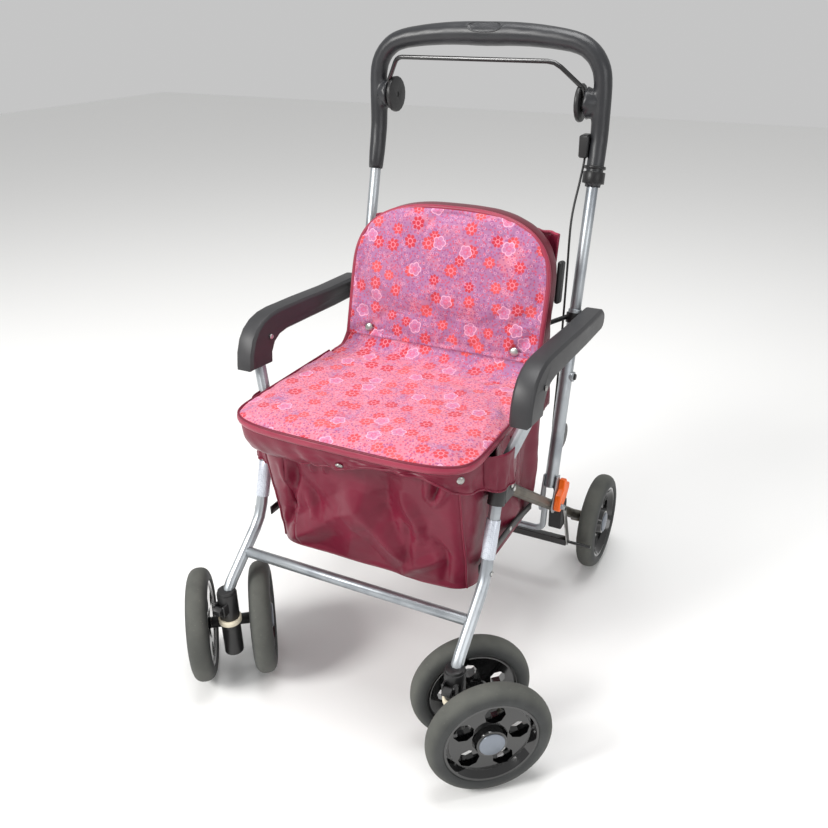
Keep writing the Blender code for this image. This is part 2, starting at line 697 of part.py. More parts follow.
def brakes():
    """The boxes on the side bars, the links, and the bar whose pins press the rear tyres."""
    clamp = box((FRAME_HALF - BOX_HALF, BOX_Y[0], BOX_Z[0]), (BOX_OUTER, BOX_Y[1], BOX_Z[1]), 0.0015)
    tunnel = rod(on_bar(BOX_Y[0] - 0.02), on_bar(BOX_Y[1] + 0.02), BAR_R + GAP, TUBE_SIDES)
    link_x = BOX_OUTER + GAP
    stub = across(BOX_OUTER - WELD, link_x + LINK_THICK + WELD, BRAKE_PIVOT, BRAKE_STUB_R)
    place_pair("brake_box", carve(clamp, adds=[stub], cuts=[tunnel]), BLACK)

    pivot = Vector(BRAKE_PIVOT)
    tip = Vector((AXLE_Y - WHEEL_R - BRAKE_PIN_GAP - BRAKE_PIN_R, BRAKE_BAR_Z))
    down = (tip - pivot).normalized()
    angle = degrees(atan2(down.y, down.x))
    outline = arc(pivot, LINK_R, angle + 90, angle + 270, 6) + arc(tip, LINK_R, angle - 90, angle + 90, 6)
    holes = [across(link_x - WELD, link_x + LINK_THICK + WELD, BRAKE_PIVOT, BRAKE_STUB_R + RUNNING_GAP),
             across(link_x - WELD, link_x + LINK_THICK + WELD, tip, BRAKE_PIN_R + GAP)]
    link = carve(plate(outline, link_x, link_x + LINK_THICK), cuts=holes)
    place_pair("brake_link", link, STEEL, at=(link_x, *BRAKE_PIVOT))

    half = BRAKE_BAR_SIDE / 2
    body = box((-BOX_OUTER, tip.x - half, tip.y - half), (BOX_OUTER, tip.x + half, tip.y + half), 0.001)
    pin = across(BOX_OUTER - 2 * WELD, REAR_TRACK_HALF + TYRE_WIDTH / 2, tip, BRAKE_PIN_R)
    place("brake_bar", carve(body, adds=[pin, mirrored(pin)]), BLACK, at=(0, *BRAKE_PIVOT))


def fold_lock():
    """The orange lever on the right fold pivot that keeps the frame from folding."""
    inner = FRAME_HALF + FORK_OUTER + GAP
    y, z = FOLD_PIVOT
    reach, rise = LOCK_BODY
    outline = arc(FOLD_PIVOT, LOCK_HUB_R, 170, 300, 5)
    outline += [(y + 0.024, z + 0.002), (y + reach - 0.002, z + 0.014), (y + reach, z + rise),
                (y + 0.027, z + rise + 0.002), (y + 0.022, z + LOCK_THUMB - 0.001),
                (y + 0.013, z + LOCK_THUMB), (y + 0.010, z + rise + 0.001), (y - 0.003, z + 0.018)]
    hole = across(inner - WELD, inner + LOCK_THICK + WELD, FOLD_PIVOT, FOLD_PIN_R + RUNNING_GAP)
    body = carve(plate(outline, inner, inner + LOCK_THICK, 0.0012), cuts=[hole])
    place("fold_lock", body, ORANGE, at=(inner, *FOLD_PIVOT))


def cross_tube(name, line, radius, legs):
    """A tube between the two legs, its ends hollowed to fit them."""
    x = FRAME_HALF - LEG_R / 2
    place(name, carve(across(-x, x, line, radius), cuts=[leg.copy() for leg in legs]), SILVER)


def front_frame():
    """The legs, the tubes between them, and the clamps, reflectors and sockets on them."""
    path = leg_path()
    place_pair("front_leg", tube(path, LEG_R, 10), SILVER)
    around = tube(leg_path(GAP), LEG_R + GAP, 10)
    legs = (around, mirrored(around))
    cross_tube("front_crossbar", CROSSBAR_LINE, CROSSBAR_R, legs)
    cross_tube("seat_rail", (leg_point(SEAT_RAIL_Z).y, SEAT_RAIL_Z), SEAT_RAIL_R, legs)

    clamp = rod(leg_point(CLAMP_Z[0]), leg_point(CLAMP_Z[1]), LEG_R + GAP + CLAMP_WALL, 12)
    front = leg_point(LEG_PIVOT[1]).y
    height = (CLAMP_Z[1] - CLAMP_Z[0]) * 0.3
    outline = arc(LEG_PIVOT, EAR_R, -90, 90, 6)
    outline += [(front, LEG_PIVOT[1] + height), (front, LEG_PIVOT[1] - height)]
    ears = [plate(outline, FRAME_HALF + side * FORK_INNER, FRAME_HALF + side * (FORK_INNER + EAR_THICK))
            for side in (-1, 1)]
    clear = across(FRAME_HALF - FORK_INNER, FRAME_HALF + FORK_INNER, LEG_PIVOT, BAR_R + EAR_CLEARANCE, 12)
    reach = FORK_INNER + EAR_THICK + WELD
    pin = across(FRAME_HALF - reach, FRAME_HALF + reach, LEG_PIVOT, LEG_PIN_R)
    body = carve(clamp, adds=ears, cuts=[around.copy(), clear])
    place_pair("leg_connector", carve(body, adds=[pin]), BLACK)

    sleeve = rod(leg_point(REFLECTOR_Z[0]), leg_point(REFLECTOR_Z[1]), LEG_R + GAP + REFLECTOR_WALL, 12)
    place_pair("reflector_sleeve", carve(sleeve, cuts=[around.copy()]), REFLECTIVE)

    socket = rod((FRAME_HALF, CASTER_Y, SOCKET_Z[0]), (FRAME_HALF, CASTER_Y, SOCKET_Z[1]), SOCKET_R, 16)
    collar = rod((FRAME_HALF, CASTER_Y, SOCKET_Z[1] - WELD),
                 (FRAME_HALF, CASTER_Y, SOCKET_Z[1] + COLLAR_HEIGHT), SOCKET_R - 0.0015, 16)
    side = LOCK_HALF + GAP + LOCK_CHEEK
    cheeks = box((FRAME_HALF - side, CASTER_Y - LOCK_OUT - 0.003, LOCK_Z - 0.008),
                 (FRAME_HALF + side, CASTER_Y, LOCK_Z + 0.008), 0.001)
    slot = box((FRAME_HALF - LOCK_HALF - GAP, CASTER_Y - 0.04, SOCKET_Z[0] - WELD),
               (FRAME_HALF + LOCK_HALF + GAP, CASTER_Y - SOCKET_R + 0.0012, SOCKET_Z[1] + 0.01))
    pin_reach = LOCK_HALF + GAP + LOCK_CHEEK / 2
    pin = across(FRAME_HALF - pin_reach, FRAME_HALF + pin_reach, (CASTER_Y - LOCK_OUT, LOCK_Z), LOCK_PIN_R, 8)
    body = carve(socket, adds=[collar, cheeks], cuts=[around.copy(), slot])
    place_pair("caster_socket", carve(body, adds=[pin]), BLACK)


def swivel_locks():
    """The faceted lever on the front of each caster socket."""
    y = CASTER_Y - LOCK_OUT
    outline = [(y + 0.0026, LOCK_Z - 0.0035), (y + 0.0026, LOCK_Z + 0.0035), (y - 0.002, LOCK_Z + 0.006),
               (y - 0.008, LOCK_Z + 0.003), (y - 0.008, LOCK_Z - 0.0035), (y - 0.004, LOCK_Z - 0.006)]
    hole = across(FRAME_HALF - 2 * LOCK_HALF, FRAME_HALF + 2 * LOCK_HALF, (y, LOCK_Z),
                  LOCK_PIN_R + RUNNING_GAP, 8)
    body = carve(plate(outline, FRAME_HALF - LOCK_HALF, FRAME_HALF + LOCK_HALF, 0.0008), cuts=[hole])
    place_pair("swivel_lock", body, BLACK, at=(FRAME_HALF, y, LOCK_Z))


def wheel_meshes():
    """One tyre and one hub, turned about the X axis, with the hub's outer face towards +X."""
    wall = TYRE_WIDTH / 2
    tread = [(TREAD_HALF, WHEEL_R), (wall, WHEEL_R - SHOULDER_DROP), (wall, RIM_R)]
    tyre = turned(tread + [(-x, r) for x, r in reversed(tread)], WHEEL_SIDES)
    bore = AXLE_R + RUNNING_GAP
    rim = RIM_R - GAP
    outer = [(HUB_HALF, bore), (HUB_HALF, HUB_CAP_R), (HUB_WEB, HUB_CAP_R + HUB_SLOPE),
             (HUB_WEB, HUB_DISH_R - HUB_SLOPE), (HUB_HALF, rim)]
    inner = [(-HUB_HALF, rim), (-HUB_WEB, HUB_DISH_R - HUB_SLOPE), (-HUB_WEB, HUB_CAP_R),
             (-HUB_HALF, HUB_CAP_R - HUB_SLOPE), (-HUB_HALF, bore)]
    hub = turned(outer + inner, WHEEL_SIDES)
    cutters = []
    for index in range(HUB_HOLES):
        angle = 2 * pi * index / HUB_HOLES + pi / WHEEL_SIDES
        spot = Vector((0, cos(angle), sin(angle))) * HUB_HOLE_CIRCLE
        through = Vector((HUB_HALF + WELD, 0, 0))
        cutters.append(rod(spot - through, spot + through, HUB_HOLE_R - HUB_HOLE_TAPER, 8,
                           end_radius=HUB_HOLE_R + HUB_HOLE_TAPER))
    return tyre, carve(hub, cuts=cutters)


def wheel(name, meshes, at, parent=None, turn=0.0):
    """A tyre and its hub on their axle."""
    for kind, mesh, look in zip(("tyre_", "hub_"), meshes, (RUBBER, GLOSS_BLACK)):
        place(kind + name, mesh.copy(), look, at, turn, parent or frame_origin)


def caster(name, side, swivel, meshes):
    """A twin-wheel caster, drawn about its swivel axis and turned to its angle at rest."""
    pivot = bpy.data.objects.new("swivel_" + name, None)
    pivot.location = (side * FRAME_HALF, CASTER_Y, 0)
    pivot.rotation_euler = (0, 0, -swivel)
    pivot.parent = frame_origin
    bpy.context.scene.collection.objects.link(pivot)
    barrel = rod((0, 0, SWIVEL_Z[0]), (0, 0, SWIVEL_Z[1]), SWIVEL_R - 0.001, 16, edge=0.001)
    band = rod((0, 0, BAND_Z[0]), (0, 0, BAND_Z[1]), SWIVEL_R, 16)
    half_x, half_z = FORK_ARM
    arm = box((-half_x, 0, WHEEL_Z - half_z), (half_x, CASTER_TRAIL, WHEEL_Z + half_z), 0.002)
    line = (CASTER_TRAIL, WHEEL_Z)
    inner = CASTER_TRACK - HUB_HALF - RUNNING_GAP
    shoulder = across(-inner, inner, line, FORK_SHOULDER_R)
    outer = CASTER_TRACK + HUB_HALF - WELD
    axle = across(-outer, outer, line, AXLE_R)
    place("caster_fork_" + name, carve(barrel, adds=[band, arm, shoulder, axle]), BLACK, parent=pivot)
    for place_name, where in (("outer", side), ("inner", -side)):
        wheel(f"{name}_{place_name}", meshes, (where * CASTER_TRACK, CASTER_TRAIL, WHEEL_Z), pivot,
              pi if where < 0 else 0)


def armrests():
    """Moulded armrests, hollow and open underneath, that cover the tops of the legs."""
    low, high = ARM_REAR_Z
    rear_r = (high - low) / 2
    rear_centre = (ARM_REAR_Y - rear_r, (low + high) / 2)
    top = [ARM_TOP[0], *bezier(*ARM_TOP, 6)]
    top += bezier(ARM_TOP[3], ARM_TOP_BEND, (ARM_STRAIGHT_Y[0], high), (rear_centre[0], high), 3)
    end = arc(rear_centre, rear_r, 90, -90, 6)[1:]
    under = [ARM_UNDER[0], *bezier(*ARM_UNDER, 4)]
    under += bezier(ARM_UNDER[3], ARM_UNDER_BEND, (ARM_STRAIGHT_Y[1], low), (rear_centre[0], low), 3)[:-1]
    outer = plate(top + end + under[::-1], ARM_INNER_X, ARM_INNER_X + ARM_WIDTH, ARM_EDGE_R)

    below = ARM_CAVITY_BELOW
    inset = offset(top, ARM_WALL)
    cavity = [(inset[0][0], inset[0][1] - below)] + inset[1:]
    cavity += [(rear_centre[0] + below, inset[-1][1] - ARM_WALL), (rear_centre[0] + below, low - below)]
    cavity += [(y, z - below) for y, z in under[:0:-1]]
    cavity += [(under[0][0] + below, under[0][1] - below)]
    hollow = plate(cavity, ARM_INNER_X + ARM_WALL, ARM_INNER_X + ARM_WIDTH - ARM_WALL)
    adds = []
    for side in (-1, 1):
        face = ARM_MID_X + side * ARM_WIDTH / 2
        adds.append(across(face - side * WELD, ARM_MID_X + side * (LEG_R + ARM_BOSS_CLEARANCE), ARM_PIN,
                           ARM_BOSS_R))
        adds.append(across(face - side * WELD, face + side * ARM_SCREW[1], ARM_PIN, ARM_SCREW[0], 10))
    hole = across(ARM_INNER_X - WELD, ARM_INNER_X + ARM_WALL + WELD, on_upright(ARM_AT).yz,
                  ARM_PIN_R + RUNNING_GAP)
    place_pair("armrest", carve(carve(outer, cuts=[hollow, hole]), adds=adds), ARM_GREY,
               at=tuple(on_upright(ARM_AT, ARM_INNER_X)))


def back_plane(z, behind=0.0):
    """The y of the backrest's front plane at this height, or of a plane behind it."""
    return BACK_FOOT[0] + (z - BACK_FOOT[1]) * tan(BACK_LEAN) + behind / cos(BACK_LEAN)


def back_frame():
    """The steel loop behind the backrest, whose lower run is the seat's hinge."""
    top_z = BACK_Z[1] - LOOP_BELOW_TOP
    side = [SEAT_HINGE, LOOP_HEEL, (back_plane(LOOP_KNEE_Z, LOOP_BEHIND), LOOP_KNEE_Z),
            (back_plane(top_z, LOOP_BEHIND), top_z)]
    right = [(LOOP_HALF, *p) for p in side]
    left = [(-LOOP_HALF, *p) for p in reversed(side)]
    start = (0, *SEAT_HINGE)
    radii = (0.012, 0.020, 0.030, 0.045)
    path = rounded([start, *right, *left, start], radii + radii[::-1], radians(22))
    place("back_frame", tube(path[:-1], LOOP_R, 8, closed=True), BLACK)


def back_brackets():
    """Clamps on the uprights that hold the backrest loop and carry the armrest pins."""
    hole = LOWER_TUBE_R + GAP
    centre = on_upright(ARM_AT)
    ring = rod(on_upright(ARM_AT - RING_LENGTH / 2), on_upright(ARM_AT + RING_LENGTH / 2), hole + RING_WALL,
               TUBE_SIDES)
    bore = rod(on_upright(ARM_AT - RING_LENGTH), on_upright(ARM_AT + RING_LENGTH), hole, TUBE_SIDES)
    pin = across(FRAME_HALF + hole + GAP, ARM_INNER_X + ARM_WALL + 2 * WELD, centre.yz, ARM_PIN_R)
    clip_at = Vector((LOOP_HALF, back_plane(ARM_PIVOT_Z, LOOP_BEHIND), ARM_PIVOT_Z))
    slope = Vector((0, sin(BACK_LEAN), cos(BACK_LEAN))) * RING_LENGTH / 2
    wire_hole = LOOP_R + GAP
    clip = rod(clip_at - slope, clip_at + slope, wire_hole + RING_WALL)
    wire = rod(clip_at - slope * 2, clip_at + slope * 2, wire_hole)
    arm = rod(clip_at + Vector((0, wire_hole, 0)), centre + Vector((-hole, 0, 0)), RING_LENGTH / 4, 10)
    place_pair("back_bracket", carve(ring, adds=[clip, arm, pin], cuts=[bore, wire]), BLACK)


def cushion(half_x, length, shoulder, thick, crown, blunt, columns, rows, draw_in=0.0, fold=None):
    """A padded cover lying flat from y = 0: crowned, thin at its piped rim, its far corners rounded.

    Past the shoulder the outline closes as a superellipse of the exponent blunt. The fold is a
    stitched channel across the cushion, as its y and its depth.
    """
    bm = bmesh.new()
    top, bottom = {}, {}
    for i in range(columns + 1):
        for j in range(rows + 1):
            u = 2 * i / columns - 1
            w = 2 * j / rows - 1
            y = length * j / rows
            v = max(0.0, (y - shoulder) / (length - shoulder))
            shrink = 1.0
            if v > 0:
                shrink = max(abs(u), v) / (abs(u) ** blunt + v ** blunt) ** (1 / blunt)
                y = shoulder + (length - shoulder) * v * shrink
            x = u * half_x * shrink - draw_in * (1 - w * w) * u
            if i in (0, columns) or j in (0, rows):
                top[i, j] = bottom[i, j] = bm.verts.new((x, y, 0))
                continue
            full = min(1.0, 4 * (1 - max(abs(u), abs(w)))) ** 0.5
            dome = (1 - u * u) * (1 - w * w)
            dip = fold[1] * max(0.0, 1 - abs(y - fold[0]) * rows / length) if fold else 0.0
            top[i, j] = bm.verts.new((x, y, thick / 2 * full + crown * dome - dip))
            bottom[i, j] = bm.verts.new((x, y, -thick / 2 * full))
    for i in range(columns):
        for j in range(rows):
            ring = ((i, j), (i + 1, j), (i + 1, j + 1), (i, j + 1))
            bm.faces.new([top[k] for k in ring])
            bm.faces.new([bottom[k] for k in reversed(ring)])
    return to_mesh(bm)


def seat():
    """The seat board, clipped on the loop's lower run, and its padded cover."""
    front, rear = SEAT_Y
    board = box((-BOARD_HALF, front + BOARD_SETBACK, BOARD_Z), (BOARD_HALF, BOARD_REAR_Y, BOARD_Z + BOARD_THICK),
                0.001)
    adds = []
    for x in (-BARREL_SPACING, 0.0, BARREL_SPACING):
        adds.append(across(x - BARREL_LENGTH / 2, x + BARREL_LENGTH / 2, SEAT_HINGE, BARREL_R))
        adds.append(box((x - BARREL_LENGTH / 2 + WELD, BOARD_REAR_Y - 2 * WELD, BOARD_Z + WELD),
                        (x + BARREL_LENGTH / 2 - WELD, SEAT_HINGE[0], BOARD_Z + BOARD_THICK - WELD)))
    rail = across(-LOOP_HALF, LOOP_HALF, SEAT_HINGE, LOOP_R + RUNNING_GAP)
    place("seat_board", carve(board, adds=adds, cuts=[rail]), BLACK, at=(0, *SEAT_HINGE))
    length = rear - front
    pad = cushion(SEAT_HALF, length, length - SEAT_CORNER, PAD_THICK, PAD_CROWN, SEAT_BLUNT, 14, 12,
                  PAD_DRAW_IN)
    middle = BOARD_Z + BOARD_THICK + GAP + PAD_THICK / 2
    pad.transform(Matrix.Translation((0, rear, middle)) @ Matrix.Rotation(pi, 4, "Z"))
    place("seat_pad", pad, FLORAL, at=(0, *SEAT_HINGE))


def backrest():
    """The backrest cushion before its loop, and the flat pocket hung on the loop's rear."""
    low, high = BACK_Z
    slope = cos(BACK_LEAN)
    fold = ((BACK_FOLD_Z - low) / slope, BACK_FOLD_DEPTH)
    pad = cushion(BACK_HALF, (high - low) / slope, (BACK_SHOULDER_Z - low) / slope, BACK_THICK, BACK_CROWN,
                  BACK_BLUNT, 12, 14, fold=fold)
    foot = Vector((0, back_plane(low, BACK_THICK / 2), low))
    pad.transform(Matrix.Translation(foot) @ Matrix.Rotation(pi / 2 - BACK_LEAN, 4, "X"))
    place("backrest_pad", pad, FLORAL)
    near = LOOP_BEHIND + LOOP_R + GAP
    base, lid = POCKET_Z
    outline = [(back_plane(base, near), base), (back_plane(base, near + POCKET_DEPTH * 0.7), base),
               (back_plane(base + 0.02, near + POCKET_DEPTH), base + 0.02),
               (back_plane(lid - 0.01, near + POCKET_DEPTH * 0.8), lid - 0.01),
               (back_plane(lid, near + POCKET_DEPTH * 0.4), lid), (back_plane(lid, near), lid)]
    place("rear_pocket", plate(outline, -POCKET_HALF, POCKET_HALF, 0.003), BURGUNDY)


def bag_shell(out, low, high):
    """The bag's outer skin, or its inside where out is negative."""
    bm = bmesh.new()
    rings = []
    for share in (0, 0.5, 1):
        half = BAG_BOTTOM_HALF + (BAG_TOP_HALF - BAG_BOTTOM_HALF) * share ** 0.5 + out
        front = BAG_FRONT_Y[0] + (BAG_FRONT_Y[1] - BAG_FRONT_Y[0]) * share - sin(pi * share) * BAG_SWELL - out
        rear = BAG_REAR_Y[0] + (BAG_REAR_Y[1] - BAG_REAR_Y[0]) * share + out
        nose, cut = BAG_FRONT_CORNER, BAG_CORNER
        corners = ((half - nose, front), (half, front + nose), (half, rear - cut),
                   (half - cut, rear))
        ring = list(corners) + [(-x, y) for x, y in reversed(corners)]
        rings.append([bm.verts.new((x, y, low + (high - low) * share)) for x, y in ring])
    bm.faces.new(rings[0])
    bm.faces.new(rings[-1])
    for lower, upper in zip(rings, rings[1:]):
        for index in range(len(lower)):
            after = (index + 1) % len(lower)
            bm.faces.new((lower[index], lower[after], upper[after], upper[index]))
    return to_mesh(bm)


def upright_strip(start, end, low, height, thick):
    """A thin upright strip between two (x, y) points."""
    start, end = Vector(start), Vector(end)
    along = (end - start).normalized()
    sideways = Vector((along.y, -along.x)) * thick
    bm = bmesh.new()
    base = bm.faces.new([bm.verts.new((p.x, p.y, low)) for p in (start, end, end + sideways, start + sideways)])
    moved = bmesh.ops.extrude_face_region(bm, geom=[base])
    raised = [v for v in moved["geom"] if isinstance(v, bmesh.types.BMVert)]
    bmesh.ops.translate(bm, vec=(0, 0, height), verts=raised)
    return to_mesh(bm)


def bag():
    """The open-topped shopping bag under the seat, held to the uprights by two short straps."""
    low, high = BAG_Z
    inside = bag_shell(-BAG_WALL, low + BAG_WALL, high + WELD)
    strap_low = high - BAG_STRAP_HEIGHT - BAG_WALL
    at = (high - BAG_STRAP_HEIGHT / 2 - FOLD_PIVOT[1]) / cos(UPRIGHT_LEAN)
    start = (BAG_TOP_HALF - BAG_CORNER, BAG_REAR_Y[1] - BAG_WALL)
    strap = upright_strip(start, (FRAME_HALF, on_upright(at).y), strap_low, BAG_STRAP_HEIGHT, BAG_WALL)
    space = rod(on_upright(at - 0.04), on_upright(at + 0.04), LOWER_TUBE_R + GAP, TUBE_SIDES)
    skin = carve(bag_shell(0.0, low, high), cuts=[inside])
    body = carve(skin, adds=[strap, mirrored(strap)], cuts=[space, mirrored(space)])
    place("bag", body, BURGUNDY)


def guide_discs():
    """Round cable guides clamped behind the uprights, each with a short arm below."""
    at = (DISC_Z - FOLD_PIVOT[1]) / cos(UPRIGHT_LEAN)
    centre = on_upright(at)
    line = (centre.y + LOWER_TUBE_R + DISC_OUT, DISC_Z)
    disc = across(FRAME_HALF - DISC_HALF, FRAME_HALF + DISC_HALF, line, DISC_R, 18)
    foot = on_upright(at - DISC_ARM) + Vector((0, LOWER_TUBE_R + 2 * WELD, 0))
    arm = rod(foot, (FRAME_HALF, *line), DISC_ARM_R, 8)
    screw = across(FRAME_HALF + DISC_HALF - WELD, FRAME_HALF + DISC_HALF + 0.0015, line, 0.004, 10)
    space = rod(on_upright(at - 0.06), on_upright(at + 0.06), LOWER_TUBE_R + GAP, TUBE_SIDES)
    place_pair("guide_disc", carve(disc, adds=[arm, screw], cuts=[space]), BLACK)


def stand_on_origin():
    """Move the frame so that the middle of its footprint, on the floor, is the origin."""
    bpy.context.view_layer.update()
    points = [piece.matrix_world @ v.co for piece in bpy.context.scene.objects if piece.type == "MESH"
              for v in piece.data.vertices]
    low = [min(p[k] for p in points) for k in range(3)]
    high = [max(p[k] for p in points) for k in range(3)]
    frame_origin.location = (-(low[0] + high[0]) / 2, -(low[1] + high[1]) / 2, -low[2])


uprights()
grip()
cable_block_and_strap()
brake_lever()
brake_cable()
side_bars()
rear_cross_tube()
brakes()
fold_lock()
front_frame()
swivel_locks()
wheels = wheel_meshes()
wheel("rear_R", wheels, (REAR_TRACK_HALF, AXLE_Y, WHEEL_Z))
wheel("rear_L", wheels, (-REAR_TRACK_HALF, AXLE_Y, WHEEL_Z), turn=pi)
caster("R", 1, SWIVEL_RIGHT, wheels)
caster("L", -1, SWIVEL_LEFT, wheels)
armrests()
back_frame()
back_brackets()
seat()
backrest()
bag()
guide_discs()
stand_on_origin()
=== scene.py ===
"""Shopping rollator: the finished looks of the folding walker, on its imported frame."""
import bpy
import bmesh
import json
from math import cos, pi, radians, sin
from mathutils import Matrix, Vector, noise


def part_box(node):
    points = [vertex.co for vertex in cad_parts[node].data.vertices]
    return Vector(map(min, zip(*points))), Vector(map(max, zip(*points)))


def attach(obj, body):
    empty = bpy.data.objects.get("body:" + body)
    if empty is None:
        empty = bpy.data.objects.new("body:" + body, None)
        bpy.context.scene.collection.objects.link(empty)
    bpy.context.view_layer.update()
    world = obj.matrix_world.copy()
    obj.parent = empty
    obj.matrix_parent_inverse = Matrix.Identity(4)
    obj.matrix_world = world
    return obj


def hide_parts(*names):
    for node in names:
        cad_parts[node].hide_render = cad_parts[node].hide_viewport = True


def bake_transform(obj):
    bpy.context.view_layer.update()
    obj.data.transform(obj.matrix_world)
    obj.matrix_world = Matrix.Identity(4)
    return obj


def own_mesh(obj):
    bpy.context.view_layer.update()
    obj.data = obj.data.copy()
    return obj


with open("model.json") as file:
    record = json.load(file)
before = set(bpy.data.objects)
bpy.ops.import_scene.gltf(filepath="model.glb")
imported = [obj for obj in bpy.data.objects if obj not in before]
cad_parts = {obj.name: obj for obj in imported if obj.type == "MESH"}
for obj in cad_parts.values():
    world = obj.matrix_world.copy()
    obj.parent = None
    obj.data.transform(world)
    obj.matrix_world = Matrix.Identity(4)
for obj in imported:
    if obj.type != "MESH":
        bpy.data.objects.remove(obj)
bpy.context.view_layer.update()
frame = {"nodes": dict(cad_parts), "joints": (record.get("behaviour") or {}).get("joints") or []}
scene = bpy.context.scene

# The drawing's origin, between the uprights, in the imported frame
STAND = Vector((-0.005053, -0.054817, 0.0))
UPRIGHT_LEAN = radians(14.78)
SIDES = ((1, "R"), (-1, "L"))

# Walls of the cloths and the radius of their sewn seams
CLOTH_WALL = 0.0012
PRINT_WALL = 0.0014
SEAM_R = 0.0017


def at(x, y, z):
    """A point of the drawing as a point of the frame."""
    return Vector((x, y, z)) + STAND


def srgb(red, green, blue):
    """A colour as the eye reads it, 0 to 255, made linear."""
    shares = (red / 255, green / 255, blue / 255)
    return tuple(c / 12.92 if c <= 10 / 255 else ((c + 0.055) / 1.055) ** 2.4 for c in shares) + (1.0,)


# Camera, light and floor

LENS = 36.806
LENS_SHIFT = (-0.03848, -0.01314)
EYE = at(0.4977, -0.8989, 0.8821)
EYE_RIGHT = Vector((0.90205, 0.43162, -0.00332))
EYE_UP = Vector((-0.18521, 0.39399, 0.90026))
FLOOR_HALF = 6.0
FLOOR_DROP = 0.0012


def photo_camera():
    """The camera at the photograph's angle."""
    data = bpy.data.cameras.new("camera")
    data.sensor_width = 36.0
    data.lens = LENS
    data.shift_x, data.shift_y = LENS_SHIFT
    data.clip_start, data.clip_end = 0.02, 50.0
    right, up = EYE_RIGHT.normalized(), EYE_UP.normalized()
    turn = Matrix((right, up, right.cross(up))).transposed().to_4x4()
    eye = bpy.data.objects.new("camera", data)
    eye.matrix_world = Matrix.Translation(EYE) @ turn
    scene.collection.objects.link(eye)
    scene.camera = eye


def soft_light(name, spot, target, size, watts, tint=(1, 1, 1)):
    """A square studio light aimed at a point."""
    data = bpy.data.lights.new(name, "AREA")
    data.size = size
    data.energy = watts
    data.color = tint
    lamp = bpy.data.objects.new(name, data)
    lamp.location = spot
    lamp.rotation_euler = (Vector(target) - Vector(spot)).to_track_quat("-Z", "Y").to_euler()
    scene.collection.objects.link(lamp)


def studio():
    """A pale floor, an even sky and three soft lights."""
    world = bpy.data.worlds.new("studio")
    world.use_nodes = True
    sky = world.node_tree.nodes["Background"]
    sky.inputs["Color"].default_value = (1.0, 1.0, 1.0, 1.0)
    sky.inputs["Strength"].default_value = 0.56
    scene.world = world
    scene.view_settings.view_transform = "Standard"
    soft_light("window", (-1.3, -2.0, 1.9), (0, 0, 0.35), 0.9, 60, (1.0, 0.99, 0.97))
    soft_light("ceiling", (0.1, 0.1, 2.6), (0, 0, 0.3), 1.2, 34)
    soft_light("fill", (2.2, -1.2, 1.2), (0, 0, 0.4), 1.2, 12)
    bm = bmesh.new()
    bmesh.ops.create_grid(bm, x_segments=1, y_segments=1, size=FLOOR_HALF)
    bmesh.ops.translate(bm, vec=(0, 0, -FLOOR_DROP), verts=bm.verts)
    floor = mesh_object("floor", bm)
    floor.data.materials.append(floor_paint())


# Finishes

class Signal:
    """A shader socket that takes part in ordinary arithmetic."""

    def __init__(self, finish, socket):
        self.finish = finish
        self.socket = socket

    def sum_with(self, operation, *others):
        return self.finish.node("ShaderNodeMath", {"operation": operation}, *others)

    def __add__(self, other):
        return self.sum_with("ADD", self, other)

    def __radd__(self, other):
        return self.sum_with("ADD", other, self)

    def __sub__(self, other):
        return self.sum_with("SUBTRACT", self, other)

    def __rsub__(self, other):
        return self.sum_with("SUBTRACT", other, self)

    def __mul__(self, other):
        return self.sum_with("MULTIPLY", self, other)

    def __rmul__(self, other):
        return self.sum_with("MULTIPLY", other, self)

    def __truediv__(self, other):
        return self.sum_with("DIVIDE", self, other)

    def power(self, other):
        return self.sum_with("POWER", self, other)

    def sine(self):
        return self.sum_with("SINE", self)

    def unsigned(self):
        return self.sum_with("ABSOLUTE", self)

    def most(self, other):
        return self.sum_with("MAXIMUM", self, other)

    def rise(self, low, high):
        """0 below low, 1 above high, and smooth between them; falls where high is the smaller."""
        return self.finish.node("ShaderNodeMapRange", {"interpolation_type": "SMOOTHSTEP"},
                                Value=self, From_Min=low, From_Max=high)


